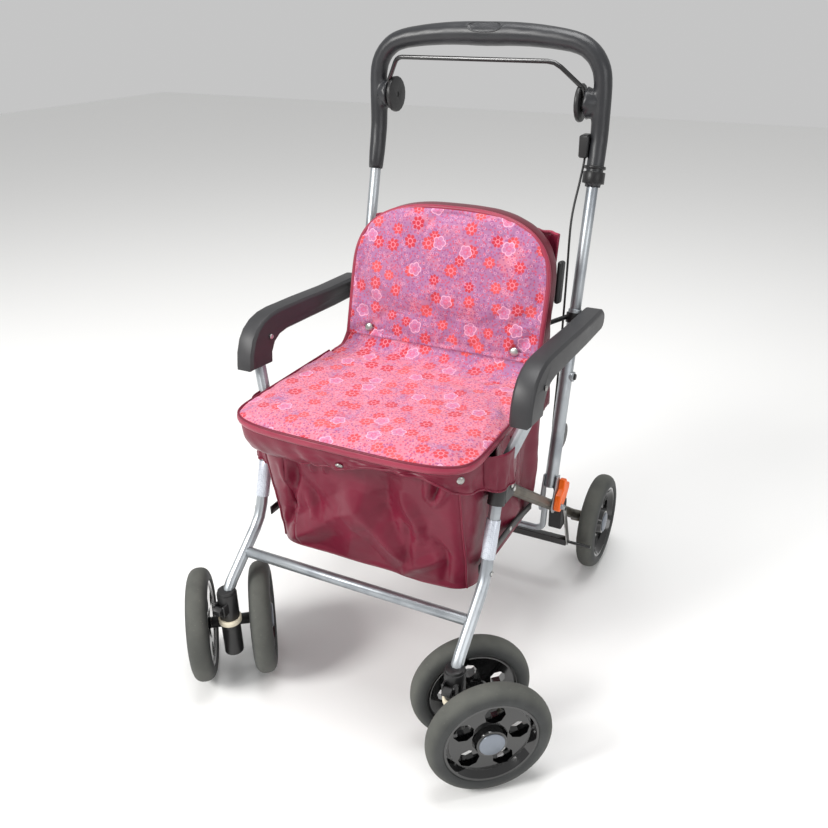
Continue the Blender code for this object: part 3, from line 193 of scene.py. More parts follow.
class Finish:
    """A material built from nodes round one Principled shader."""

    def __init__(self, name, colour, roughness=0.5, metallic=0.0, **rest):
        self.material = bpy.data.materials.new(name)
        self.material.use_nodes = True
        self.tree = self.material.node_tree
        self.shader = self.tree.nodes["Principled BSDF"]
        self.feed(Base_Color=colour, Roughness=roughness, Metallic=metallic, **rest)

    def fill(self, socket, value):
        if isinstance(value, Signal):
            self.tree.links.new(value.socket, socket)
        else:
            socket.default_value = value

    def feed(self, **values):
        """Sets the shader's sockets to numbers, colours or signals."""
        for name, value in values.items():
            self.fill(self.shader.inputs[name.replace("_", " ")], value)
        return self

    def node(self, kind, settings=None, *values, out=0, **named):
        """Any other node: its type, its settings, and its sockets by order or by name."""
        made = self.tree.nodes.new(kind)
        for key, value in (settings or {}).items():
            setattr(made, key, value)
        for socket, value in zip(made.inputs, values):
            self.fill(socket, value)
        for name, value in named.items():
            self.fill(made.inputs[name.replace("_", " ")], value)
        return Signal(self, made.outputs[out])

    def mix(self, first, second, share):
        """A colour between two, by a share from 0 to 1."""
        made = self.tree.nodes.new("ShaderNodeMix")
        made.data_type = "RGBA"
        for socket, value in ((made.inputs[0], share), (made.inputs[6], first), (made.inputs[7], second)):
            self.fill(socket, value)
        return Signal(self, made.outputs[2])

    def place(self):
        """Object coordinates, in metres."""
        return self.node("ShaderNodeTexCoord", out=3)

    def grain(self, scale, detail=3.0, place=None):
        """Cloudy noise from 0 to 1, its scale in waves to the metre."""
        return self.node("ShaderNodeTexNoise", Vector=place or self.place(), Scale=scale, Detail=detail,
                         Roughness=0.55)

    def bump(self, height, depth, strength=1.0, under=None):
        """Raises the surface by the height signal times the depth in metres."""
        values = {"Strength": strength, "Distance": depth, "Height": height}
        if under:
            values["Normal"] = under
        return self.node("ShaderNodeBump", None, **values)

    def split(self, vector):
        """The parts of a vector."""
        made = self.tree.nodes.new("ShaderNodeSeparateXYZ")
        self.fill(made.inputs[0], vector)
        return [Signal(self, output) for output in made.outputs]


def floor_paint():
    """Smooth pale studio paper."""
    paper = Finish("studio_paper", srgb(244, 244, 243), 0.85)
    return paper.feed(Roughness=paper.grain(3.0) * 0.1 + 0.8).material


def worn_metal(name, colour, dark, roughness, metallic, scratch):
    """Drawn metal: cloudy tarnish, fine dull scratches and a faint grain."""
    metal = Finish(name, colour, roughness, metallic)
    cloud = metal.grain(18.0, 4.0)
    fine = metal.grain(900.0, 2.0)
    edges = {"feature": "DISTANCE_TO_EDGE"}
    rub = metal.node("ShaderNodeTexVoronoi", edges, Vector=metal.place(), Scale=55.0)
    line = rub.rise(0.012, 0.0) * cloud.rise(0.5, 0.65) * scratch
    metal.feed(Base_Color=metal.mix(metal.mix(colour, dark, cloud.rise(0.42, 0.72)), dark, line),
               Roughness=roughness + (cloud - 0.5) * 0.18 + fine * 0.06 + line * 0.2,
               Normal=metal.bump(fine, 0.00004, 0.5))
    return metal.material


def moulded(name, colour, roughness, grain_depth, wear=0.25, **rest):
    """Moulded plastic with a fine leather grain, and cloudy patches of dust."""
    plastic = Finish(name, colour, roughness, **rest)
    pebbles = {"feature": "SMOOTH_F1"}
    cells = plastic.node("ShaderNodeTexVoronoi", pebbles, Vector=plastic.place(), Scale=1100.0)
    cloud = plastic.grain(26.0, 4.0)
    light = tuple(min(1.0, c * 1.9 + 0.012) for c in colour[:3]) + (1.0,)
    plastic.feed(Base_Color=plastic.mix(colour, light, cloud.rise(0.45, 0.8) * wear),
                 Roughness=roughness + (cloud - 0.5) * 0.22,
                 Normal=plastic.bump(cells, grain_depth, 0.6))
    return plastic.material


def tyre_rubber():
    """Grey rubber, dusty and scuffed on the tread."""
    rubber = Finish("tyre_rubber", srgb(54, 56, 55), 0.75)
    tread = rubber.node("ShaderNodeAttribute", {"attribute_name": "tread"}, out=2)
    cloud = rubber.grain(16.0, 5.0)
    speck = rubber.grain(420.0, 3.0)
    dust = tread * (cloud.rise(0.30, 0.70) * 0.5 + 0.5)
    side = rubber.mix(srgb(42, 44, 44), srgb(56, 58, 58), cloud.rise(0.4, 0.7))
    colour = rubber.mix(side, srgb(96, 97, 91), dust * 0.75)
    rubber.feed(Base_Color=rubber.mix(colour, srgb(146, 142, 128), tread * speck.rise(0.66, 0.78) * 0.45),
                Roughness=0.62 + dust * 0.25,
                Normal=rubber.bump(speck, 0.0002, 0.4))
    return rubber.material


def reflective_film():
    """Silver reflective film with a honeycomb of cells."""
    film = Finish("reflective_film", srgb(205, 210, 220), 0.35, 0.35, Coat_Weight=0.6, Coat_Roughness=0.12)
    edges = {"feature": "DISTANCE_TO_EDGE"}
    cells = film.node("ShaderNodeTexVoronoi", edges, Vector=film.place(), Scale=420.0, Randomness=0.15)
    seam = cells.rise(0.10, 0.03)
    dull = seam * 0.55 + film.grain(30.0) * 0.2
    film.feed(Base_Color=film.mix(srgb(212, 217, 226), srgb(160, 168, 182), dull),
              Normal=film.bump(seam, 0.0001, 0.4))
    return film.material


def nylon(name, lit, deep, sheen=0.3):
    """Coated nylon taffeta: a tight weave, soft puckers with painted shade in their hollows, and a dull
    gloss.
    """
    cloth = Finish(name, lit, 0.4, Sheen_Weight=sheen, Sheen_Roughness=0.4, Specular_IOR_Level=0.32)
    across, along, up = cloth.split(cloth.place())
    warp = ((across + along * 0.4) * 5200.0).sine()
    weft = (up * 5200.0).sine()
    cloud = cloth.grain(14.0, 5.0)
    pucker = cloth.grain(70.0, 4.0)
    # The colour runs between the lit and the deep tone in cloudy mottles; the pucker term is painted shade,
    # darker in the hollows of the puckers.
    cloth.feed(Base_Color=cloth.mix(deep, lit, cloud.rise(0.3, 0.7) * 0.5 + pucker * 0.2 + 0.25),
               Roughness=0.31 + pucker * 0.12,
               Normal=cloth.bump(warp * weft, 0.00005, 0.35, cloth.bump(pucker, 0.0007, 0.5)))
    return cloth.material


class Bloom:
    """The print's nearest blossom at each point: how far it is, in metres, and the angle round it."""

    def __init__(self, cloth, spot, per_metre, jitter):
        cell = {"feature": "F1", "voronoi_dimensions": "2D"}
        values = {"Vector": spot, "Scale": per_metre, "Randomness": jitter}
        centre = cloth.node("ShaderNodeTexVoronoi", cell, out=2, **values)
        tone = cloth.node("ShaderNodeTexVoronoi", cell, out=1, **values)
        x, y, _ = cloth.split(cloth.node("ShaderNodeVectorMath", {"operation": "SUBTRACT"}, spot, centre))
        self.tone, self.other, self.third = cloth.split(tone)
        self.reach = (x * x + y * y).power(0.5)
        self.angle = cloth.node("ShaderNodeMath", {"operation": "ARCTAN2"}, y, x) + self.tone * 6.28

    def petals(self, count):
        """1 along the middle of each petal and 0 between two."""
        return (self.angle * (count / 2)).sine().unsigned()


def floral_print():
    """Printed cotton: blossoms and sprigs on a ground mottled pink and lilac, more lilac on the back than on
    the seat; that extra lilac on the back is painted shade.
    """
    cloth = Finish("floral_print", srgb(235, 130, 170), 0.85, Sheen_Weight=0.15, Sheen_Roughness=0.5)
    cut = cloth.node("ShaderNodeUVMap", {"uv_map": "cut"})
    wobble = cloth.node("ShaderNodeTexNoise", None, out=1, Vector=cut, Scale=160.0, Detail=2.0)
    stray = (0.0016, 0.0016, 0.0)
    spot = cloth.node("ShaderNodeVectorMath", {"operation": "MULTIPLY_ADD"}, wobble, stray, cut)
    _, height, _ = cloth.split(cut)
    # The height term is painted shade: it turns the ground towards lilac from the seat's rear up over the
    # backrest. The cloudy term gives the print's own lilac mottles.
    lilac = cloth.grain(26.0, 3.0, cut) + height.rise(-0.10, 0.03) * 0.24
    ground = cloth.mix(srgb(205, 119, 138), srgb(160, 108, 148), lilac.rise(0.50, 0.76))
    sprig = Bloom(cloth, spot, 260.0, 1.0)
    leaf = sprig.reach.rise(0.0016, 0.0009) * sprig.other.rise(0.15, 0.2)
    stem = cloth.mix(srgb(198, 60, 92), srgb(146, 66, 122), sprig.third.rise(0.4, 0.6))
    colour = cloth.mix(ground, stem, leaf * 0.75)
    bead = Bloom(cloth, spot, 150.0, 1.0)
    ring = (bead.reach - 0.0017).unsigned().rise(0.0006, 0.0002) * bead.other.rise(0.45, 0.5)
    colour = cloth.mix(colour, srgb(228, 160, 184), ring * 0.5)
    red = Bloom(cloth, spot, 33.0, 0.8)
    radius = 0.0074 + red.other * 0.0026
    full = (red.reach / radius - (0.72 + red.petals(7) * 0.28)).rise(0.08, -0.08)
    gap = red.petals(7).rise(0.35, 0.12) * (red.reach / radius).rise(0.30, 0.42)
    middle = ((red.reach / radius) - 0.36).unsigned().rise(0.11, 0.05)
    flower = cloth.mix(srgb(186, 38, 58), srgb(212, 78, 82), red.third)
    flower = cloth.mix(flower, srgb(228, 140, 160), gap.most(middle) * 0.7)
    colour = cloth.mix(colour, flower, full * red.tone.rise(0.06, 0.1))
    pale = Bloom(cloth, spot, 16.5, 0.9)
    edge = 0.0092 * (0.76 + pale.petals(5) * 0.24)
    inside = (pale.reach - edge).rise(0.0004, -0.0004)
    outline = (pale.reach - edge).unsigned().rise(0.0009, 0.0004) * 0.8
    vein = pale.petals(5).rise(0.25, 0.1) * (pale.reach - 0.0035).rise(0.0, 0.001)
    heart = (pale.reach - 0.0029).unsigned().rise(0.0011, 0.0005)
    paint = cloth.mix(srgb(192, 122, 160), srgb(222, 160, 188), vein * 0.8)
    colour = cloth.mix(colour, cloth.mix(paint, srgb(212, 78, 118), heart * 0.7), inside * 0.75)
    colour = cloth.mix(colour, srgb(232, 176, 200), outline)
    u, v, _ = cloth.split(cut)
    weave = (u * 6800.0).sine() * (v * 6800.0).sine()
    fade = cloth.grain(9.0, 3.0, cut)
    slack = cloth.bump(cloth.grain(120.0, 3.0, cut), 0.0009, 0.4)
    cloth.feed(Base_Color=cloth.mix(colour, srgb(226, 138, 152), fade.rise(0.5, 0.85) * 0.25),
               Roughness=0.78 + fade * 0.12,
               Normal=cloth.bump(weave, 0.00006, 0.35, slack))
    return cloth.material


def finishes():
    """Every finish by its name."""
    return {
        "silver": worn_metal("silver_tube", srgb(176, 181, 185), srgb(142, 147, 153), 0.36, 0.82, 0.5),
        "steel": worn_metal("bright_steel", srgb(200, 200, 198), srgb(140, 138, 134), 0.28, 1.0, 0.3),
        # The side bar's finish is its own grey darkened with painted shade.
        "bar": worn_metal("grey_bar", srgb(106, 100, 90), srgb(72, 68, 60), 0.46, 0.7, 0.6),
        "black_steel": moulded("black_steel", srgb(22, 22, 23), 0.26, 0.00003, 0.2, Coat_Weight=0.4,
                               Coat_Roughness=0.1),
        "plastic": moulded("black_plastic", srgb(26, 26, 27), 0.42, 0.00006),
        "gloss": moulded("gloss_black", srgb(9, 9, 10), 0.10, 0.000004, 0.1, Coat_Weight=0.7,
                         Coat_Roughness=0.05),
        "grip": moulded("grip_rubber", srgb(38, 39, 42), 0.36, 0.00007, 0.2),
        "arm": moulded("arm_plastic", srgb(44, 44, 46), 0.46, 0.00007, 0.25),
        "orange": moulded("orange_plastic", srgb(250, 106, 12), 0.38, 0.00003, 0.05),
        "cream": moulded("cream_plastic", srgb(232, 222, 198), 0.45, 0.00003, 0.1),
        "cap": worn_metal("cap_grey", srgb(132, 138, 147), srgb(112, 118, 128), 0.38, 0.75, 0.2),
        "tyre": tyre_rubber(),
        "film": reflective_film(),
        "nylon": nylon("burgundy_nylon", srgb(118, 24, 50), srgb(94, 15, 37), 0.04),
        # A darker copy of the burgundy nylon, painted shade, for the cloths at the backrest's sides and rear
        # and the seat's rear sides.
        "nylon_shaded": nylon("burgundy_nylon_shaded", srgb(104, 26, 44), srgb(78, 16, 31), 0.05),
        "band": nylon("black_elastic", srgb(30, 30, 31), srgb(18, 18, 19), 0.2),
        "piping": nylon("burgundy_piping", srgb(160, 56, 78), srgb(122, 34, 56), 0.15),
        "print": floral_print(),
    }


# Making pieces

def mesh_object(name, bm):
    """The finished shape as an object at the origin."""
    mesh = bpy.data.meshes.new(name)
    bm.to_mesh(mesh)
    bm.free()
    made = bpy.data.objects.new(name, mesh)
    scene.collection.objects.link(made)
    return made


def coat(piece, finish):
    """Gives a mesh its one finish and smooth shading."""
    piece.data.materials.clear()
    piece.data.materials.append(LOOK[finish])
    piece.data.polygons.foreach_set("use_smooth", [True] * len(piece.data.polygons))


def shade(piece, finish, body=None):
    """Gives a piece its finish and its body, or no body where it is blended over a joint."""
    coat(piece, finish)
    if body:
        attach(piece, body)
    return piece


def soften(piece, width, angle=35.0, segments=2):
    """Rounds the sharp edges a little."""
    edge = piece.modifiers.new("edge", "BEVEL")
    edge.width = width
    edge.segments = segments
    edge.limit_method = "ANGLE"
    edge.angle_limit = radians(angle)
    edge.use_clamp_overlap = True
    edge.harden_normals = True
    return piece


def rounded(piece):
    """Subdivides a piece's faces once."""
    smooth = piece.modifiers.new("smooth", "SUBSURF")
    smooth.levels = smooth.render_levels = 1


def dress(name, finish):
    """A frame piece keeps its mesh and gets its finish; the soft grip is rounded, other edges softened."""
    piece = frame["nodes"][name]
    coat(piece, finish)
    weld = piece.modifiers.new("weld", "WELD")
    weld.merge_threshold = 0.000004
    if name == "grip":
        rounded(piece)
    else:
        soften(piece, 0.0004)


def spun(profile, steps):
    """A profile of (along, radius) points turned about X, closed at both ends where it meets the axis."""
    bm = bmesh.new()
    dots = [bm.verts.new((x, 0, r)) for x, r in profile]
    lines = [bm.edges.new(pair) for pair in zip(dots, dots[1:])]
    bmesh.ops.spin(bm, geom=dots + lines, cent=(0, 0, 0), axis=(1, 0, 0), dvec=(0, 0, 0), angle=2 * pi,
                   steps=steps, use_merge=True)
    bmesh.ops.remove_doubles(bm, verts=bm.verts, dist=0.00001)
    bmesh.ops.recalc_face_normals(bm, faces=bm.faces)
    return bm


def facing(direction, spot):
    """The matrix that turns +X to a direction and moves the origin to a spot."""
    return Matrix.Translation(spot) @ Vector(direction).to_track_quat("X", "Z").to_matrix().to_4x4()


def piece_of(name, bm, matrix, finish, body):
    """One finished piece from a shape drawn at the origin."""
    bmesh.ops.transform(bm, matrix=matrix, verts=bm.verts)
    return shade(mesh_object(name, bm), finish, body)


def hose(name, points, radius, finish, body=None, closed=False):
    """A round strip of one thickness along points."""
    curve = bpy.data.curves.new(name, "CURVE")
    curve.dimensions = "3D"
    curve.bevel_depth = radius
    curve.bevel_resolution = 4
    curve.use_fill_caps = not closed
    line = curve.splines.new("POLY")
    line.points.add(len(points) - 1)
    for dot, point in zip(line.points, points):
        dot.co = (*point, 1.0)
    line.use_cyclic_u = closed
    drawn = bpy.data.objects.new(name, curve)
    mesh = bpy.data.meshes.new_from_object(drawn)
    bpy.data.objects.remove(drawn)
    made = bpy.data.objects.new(name, mesh)
    scene.collection.objects.link(made)
    return shade(made, finish, body)


def stud(name, spot, direction, radius, height, body="chassis"):
    """A domed rivet or snap head standing on a surface."""
    profile = [(0.0, 0.0), (0.0, radius), (height * 0.35, radius), (height * 0.75, radius * 0.82),
               (height * 0.95, radius * 0.5), (height, 0.0)]
    return piece_of(name, spun(profile, 20), facing(direction, spot), "steel", body)


# Wheels

TYRE_HALF, TYRE_R, TYRE_BORE_R = 0.015, 0.0790, 0.0595
HUB_HALF = 0.0125
HOLE_COUNT = 5
HOLE_REACH = 0.0368
HOLE_INNER_R, HOLE_OUTER_R = 0.0095, 0.0158


def tyre_shape():
    """A rounded tyre whose vertices know how near they are to the tread."""
    wall, top, rim = TYRE_HALF, TYRE_R, TYRE_BORE_R
    half = [(0.0, top), (0.0035, top - 0.0002), (0.0070, top - 0.0012), (0.0100, top - 0.0031),
            (0.0124, top - 0.0060), (0.0141, top - 0.0100), (wall, top - 0.0145),
            (wall - 0.0003, rim + 0.0030), (wall - 0.0010, rim + 0.0012), (wall - 0.0024, rim)]
    profile = half + [(-x, r) for x, r in reversed(half[1:])]
    bm = spun(profile + profile[:1], 96)
    tread = bm.verts.layers.float.new("tread")
    for vert in bm.verts:
        reach = (vert.co.y ** 2 + vert.co.z ** 2) ** 0.5
        vert[tread] = max(0.0, min(1.0, (reach - top + 0.011) / 0.009))
    return bm


def hub_shape():
    """A dished hub, its outer face towards +X, with five holes that narrow inwards."""
    face = [(HUB_HALF, 0.0), (HUB_HALF, 0.0178), (0.0120, 0.0190), (0.0036, 0.0226), (0.0036, 0.0512),
            (0.0100, 0.0548), (0.0122, 0.0562), (HUB_HALF, 0.0592)]
    rear = [(-HUB_HALF, 0.0592), (-0.0122, 0.0568), (-0.0112, 0.0552), (-0.0112, 0.0215),
            (-HUB_HALF, 0.0195), (-HUB_HALF, 0.0)]
    hub = mesh_object("hub_shape", spun(face + rear, 90))
    cutters = bmesh.new()
    for index in range(HOLE_COUNT):
        angle = 2 * pi * index / HOLE_COUNT + radians(9)
        spot = Vector((0, cos(angle), sin(angle))) * HOLE_REACH
        turn = Matrix.Rotation(angle, 4, "X") @ Matrix.Rotation(pi / 2, 4, "Y")
        bmesh.ops.create_cone(cutters, cap_ends=True, segments=8, radius1=HOLE_INNER_R,
                              radius2=HOLE_OUTER_R, depth=0.030, matrix=Matrix.Translation(spot) @ turn)
    cutter = mesh_object("hub_cutter", cutters)
    cut = hub.modifiers.new("holes", "BOOLEAN")
    cut.operation = "DIFFERENCE"
    cut.object = cutter
    bpy.context.view_layer.update()
    mesh = bpy.data.meshes.new_from_object(hub.evaluated_get(bpy.context.evaluated_depsgraph_get()))
    bpy.data.objects.remove(hub)
    bpy.data.objects.remove(cutter)
    return mesh


def wheels():
    """The six wheels: tyre, hub and cap on each axle."""
    hub = hub_shape()
    for joint in frame["joints"]:
        if not joint["name"].startswith("roll_"):
            continue
        name = joint["name"][5:]
        body = joint["child"]
        axis = Vector(joint["axis"])
        spot = Vector(joint["pos_m"])
        stance = facing(axis if ("R" in name) == ("inner" not in name) else -axis, spot)
        tyre = piece_of("tyre_skin_" + name, tyre_shape(), stance, "tyre", body)
        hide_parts("tyre_" + name)
        bm = bmesh.new()
        bm.from_mesh(hub)
        disc = piece_of("hub_skin_" + name, bm, stance, "gloss", body)
        soften(disc, 0.0006, 28.0)
        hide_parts("hub_" + name)
        cap = [(0.0124, 0.0), (0.0124, 0.0162), (0.0136, 0.0162), (0.0140, 0.0155), (0.0141, 0.0)]
        piece_of("cap_" + name, spun(cap, 48), stance, "cap", body)
        nut = [(-0.0124, 0.0), (-0.0124, 0.0075), (-0.0140, 0.0070), (-0.0142, 0.0)]
        piece_of("axle_end_" + name, spun(nut, 24), stance, "steel", body)


# Cloth

def sewn(piece, finish="nylon", body="chassis"):
    """Gives burgundy cloth its finish and its body."""
    return shade(piece, finish, body)


def welt(name, points, radius, finish="nylon", body="chassis", closed=False):
    """A sewn seam, hem or piping of burgundy cloth along points."""
    return hose(name, points, radius, finish, body, closed)


def sheet_over(name, place, across, up, thick=CLOTH_WALL, seam=False, cut=None):
    """A sheet: place gives its point at (u, v), both from 0 to 1; a seam joins its two sides."""
    bm = bmesh.new()
    bmesh.ops.create_grid(bm, x_segments=across, y_segments=up, size=0.5)
    if cut:
        layer = bm.loops.layers.uv.new("cut")
        for face in bm.faces:
            for loop in face.loops:
                loop[layer].uv = cut(loop.vert.co.x + 0.5, loop.vert.co.y + 0.5)
    for vert in bm.verts:
        vert.co = place(vert.co.x + 0.5, vert.co.y + 0.5)
    if seam:
        bmesh.ops.remove_doubles(bm, verts=bm.verts, dist=0.00001)
    bmesh.ops.recalc_face_normals(bm, faces=bm.faces)
    sheet = mesh_object(name, bm)
    wall = sheet.modifiers.new("wall", "SOLIDIFY")
    wall.thickness = thick
    wall.offset = 0.0
    return sheet


def through(points):
    """A smooth line through points, by a share from 0 to 1 of its length."""
    dots = [Vector(p) for p in points]
    reach = [0.0]
    for a, b in zip(dots, dots[1:]):
        reach.append(reach[-1] + (b - a).length)

    def place(share):
        goal = min(max(share, 0.0), 1.0) * reach[-1]
        k = max(i for i in range(len(dots) - 1) if reach[i] <= goal + 1e-9)
        t = (goal - reach[k]) / (reach[k + 1] - reach[k])
        a, b = dots[k], dots[k + 1]
        before, after = dots[max(k - 1, 0)], dots[min(k + 2, len(dots) - 1)]
        return 0.5 * (2 * a + (b - before) * t + (2 * before - 5 * a + 4 * b - after) * t * t
                      + (3 * a - before - 3 * b + after) * t ** 3)
    return place


def outward(plan, share, turn=1.0):
    """The level direction square to a line, to its right, or to its left where turn is -1."""
    run = plan(min(share + 0.01, 1.0)) - plan(max(share - 0.01, 0.0))
    return Vector((run.y, -run.x, 0)).normalized() * turn


def waves(x, y, seed, *scales):
    """Smooth noise from about -1 to 1, each scale half as strong as the one before."""
    return sum(noise.noise(Vector((x * k, y * k, seed))) / 2 ** i for i, k in enumerate(scales)) * 1.3


def folds_at(x, z, folds):
    """The height of creases at a point: each a ridge or a valley from one end to the other."""
    height = 0.0
    for x0, z0, x1, z1, depth, width in folds:
        run = Vector((x1 - x0, z1 - z0))
        spot = Vector((x - x0, z - z0))
        along = max(0.0, min(1.0, spot.dot(run) / run.length_squared))
        away = (spot - run * along).length / width
        if away < 1.0:
            height += depth * (1 - away) * (1 - 0.45 * (2 * along - 1) ** 2)
    return height


# Cushions

COVER_COLUMNS = 84
COVER_THICK = 0.009
PRESSURE = 3.0
STIFFNESS = 14.0
FRAMES = 18
SIDE_ROWS = 26
ARC_ROWS = 120


def cover(half_x, length, shoulder, blunt, rows, start=0.0, step=1):
    """A flat closed cover from y = 0, its far corners a superellipse's, with its cut as its UV map."""
    bm = bmesh.new()
    bmesh.ops.create_grid(bm, x_segments=COVER_COLUMNS, y_segments=rows, size=1.0)
    for vert in bm.verts:
        u, w = vert.co.x, (vert.co.y + 1) / 2
        y = length * w
        v = max(0.0, (y - shoulder) / (length - shoulder))
        shrink = 1.0
        if v > 0:
            shrink = max(abs(u), v) / (abs(u) ** blunt + v ** blunt) ** (1 / blunt)
            y = shoulder + (length - shoulder) * v * shrink
        vert.co = (u * half_x * shrink, y, COVER_THICK / 2)
    layer = bm.loops.layers.uv.new("cut")
    for face in bm.faces:
        for loop in face.loops:
            loop[layer].uv = (loop.vert.co.x * step, start + loop.vert.co.y * step)
    bmesh.ops.solidify(bm, geom=bm.faces[:], thickness=COVER_THICK)
    bmesh.ops.recalc_face_normals(bm, faces=bm.faces)
    return bm


def puff(piece, held, cap, shrink):
    """Blows up a closed cover by cloth simulation, up to cap; held says which points are sewn down."""
    mesh = piece.data
    sewn_down = piece.vertex_groups.new(name="sewn")
    rest = [v.co.copy() for v in mesh.vertices]
    sewn_down.add([index for index, co in enumerate(rest) if held(co)], 1.0, "REPLACE")
    cloth = piece.modifiers.new("cloth", "CLOTH")
    cloth.settings.quality = 6
    cloth.settings.mass = 0.25
    cloth.settings.tension_stiffness = STIFFNESS
    cloth.settings.compression_stiffness = STIFFNESS
    cloth.settings.shear_stiffness = STIFFNESS / 3
    cloth.settings.bending_stiffness = 0.4
    cloth.settings.vertex_group_mass = "sewn"
    cloth.settings.shrink_min = shrink
    cloth.settings.effector_weights.gravity = 0.0
    cloth.settings.use_pressure = True
    cloth.settings.uniform_pressure_force = PRESSURE
    cloth.collision_settings.use_collision = False
    for moment in range(1, FRAMES + 1):
        scene.frame_set(moment)
    shaped = piece.evaluated_get(bpy.context.evaluated_depsgraph_get())
    moved = [v.co.copy() for v in shaped.data.vertices]
    for vert, before, after in zip(mesh.vertices, rest, moved):
        step = after - before
        vert.co = before + step * min(1.0, cap / max(step.length, 1e-9))
    piece.modifiers.clear()
    piece.vertex_groups.clear()
    scene.frame_set(1)


def wrinkle(pad, shape, margins, seed, scales, height, creases):
    """Slack waves and creases on a pad's top, fading out over its side, front and hinge margins."""
    side, front, hinge = margins
    for vert in pad.data.vertices:
        if vert.co.z > 0:
            x, y, _ = vert.co
            inside = ((shape["half_x"] - abs(x)) / side, (shape["length"] - y) / front, y / hinge)
            free = max(0.0, min(1.0, *inside))
            vert.co.z += (waves(x, y, seed, *scales) * height + folds_at(x, y, creases)) * free
            vert.co.z = max(vert.co.z, -0.002)


def rim_line(half_x, length, shoulder, blunt, grow=0.0):
    """Points round a cover's outline, from its near left corner to its near right one, set out by grow."""
    points = [Vector((-half_x - grow, shoulder * k / SIDE_ROWS, 0)) for k in range(SIDE_ROWS)]
    for k in range(ARC_ROWS + 1):
        angle = pi - pi * k / ARC_ROWS
        c, s = cos(angle), sin(angle)
        r = 1 / (abs(c) ** blunt + abs(s) ** blunt) ** (1 / blunt)
        points.append(Vector((c * r * (half_x + grow), shoulder + (length - shoulder + grow) * s * r, 0)))
    for k in range(SIDE_ROWS):
        points.append(Vector((half_x + grow, shoulder - shoulder * (k + 1) / SIDE_ROWS, 0)))
    return points


def rim_band(name, rim, stance, low, high, bulge, body):
    """A piped band round a cushion's side, from low to high, swelling a little."""
    line = through(rim)

    def place(u, v):
        spot = line(u)
        out = outward(line, u, -1.0) * bulge * sin(pi * v) ** 0.7
        pucker = outward(line, u, -1.0) * 0.0004 * waves(u * 60, v * 3, 2.0, 1.0)
        return stance @ (spot + out + pucker + Vector((0, 0, low + (high - low) * v)))
    sewn(sheet_over(name, place, 160, 8, 0.0010), "piping", body)


SEAT = {"half_x": 0.1665, "length": 0.2500, "shoulder": 0.175, "blunt": 4.2}
SEAT_REAR = at(0, 0.083, 0.3990)
BACK = {"half_x": 0.1495, "length": 0.1955, "shoulder": 0.0893, "blunt": 2.8}
BACK_FOOT = at(0, 0.1150, 0.4240)
BACK_LEAN = 0.2730
SNAP_SPOT = (0.115, 0.0135)
SNAP_R, SNAP_HEIGHT = 0.0062, 0.0022

# Creases: the (x, y) of both ends, then height and width
SEAT_CREASES = [(-0.120, 0.050, -0.020, 0.036, -0.0022, 0.012), (0.020, 0.040, 0.130, 0.052, -0.0020, 0.012),
                (-0.060, 0.090, 0.080, 0.084, -0.0012, 0.016), (-0.150, 0.120, -0.080, 0.150, 0.0012, 0.016),
                (0.060, 0.150, 0.140, 0.120, -0.0012, 0.016)]
BACK_CREASES = [(-0.115, 0.014, -0.135, 0.050, -0.0050, 0.010),
                (-0.115, 0.014, -0.146, 0.002, -0.0050, 0.009),
                (-0.115, 0.014, -0.085, 0.042, -0.0034, 0.010),
                (-0.115, 0.014, -0.070, 0.004, -0.0024, 0.010),
                (0.115, 0.014, 0.140, 0.038, -0.0050, 0.009), (0.115, 0.014, 0.146, 0.058, -0.0040, 0.009),
                (0.115, 0.014, 0.146, 0.004, -0.0045, 0.009), (0.115, 0.014, 0.080, 0.036, -0.0030, 0.010),
                (0.090, 0.150, 0.140, 0.120, -0.0018, 0.010), (-0.140, 0.110, -0.100, 0.150, -0.0016, 0.012),
                (0.060, 0.170, 0.130, 0.150, -0.0014, 0.010), (-0.020, 0.004, 0.060, 0.012, -0.0020, 0.009)]


def seat_cushion():
    """The seat's padded cover, the band round its sides and the piping on its edge."""
    stance = Matrix.Translation(SEAT_REAR) @ Matrix.Rotation(pi, 4, "Z")
    pad = mesh_object("seat_cushion", cover(rows=66, start=-0.034, step=-1, **SEAT))
    side, front = SEAT["half_x"] * 0.981, SEAT["length"] * 0.978 + 0.0012
    puff(pad, lambda co: abs(co.x) > side or not 0.0028 < co.y < front or co.z < 0, 0.0080, -0.02)
    wrinkle(pad, SEAT, (0.02, 0.02, 0.01), 3.0, (26, 60), 0.0012, SEAT_CREASES)
    pad.data.transform(stance)
    shade(pad, "print", "seat")
    rounded(pad)
    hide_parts("seat_pad")
    rim_band("seat_band", rim_line(grow=0.0006, **SEAT), stance, -0.0052, 0.0038, 0.0016, "seat")
    lift = Vector((0, 0, 0.0042))
    welt("seat_piping", [stance @ (p + lift) for p in rim_line(grow=0.0004, **SEAT)], 0.0016, body="seat")


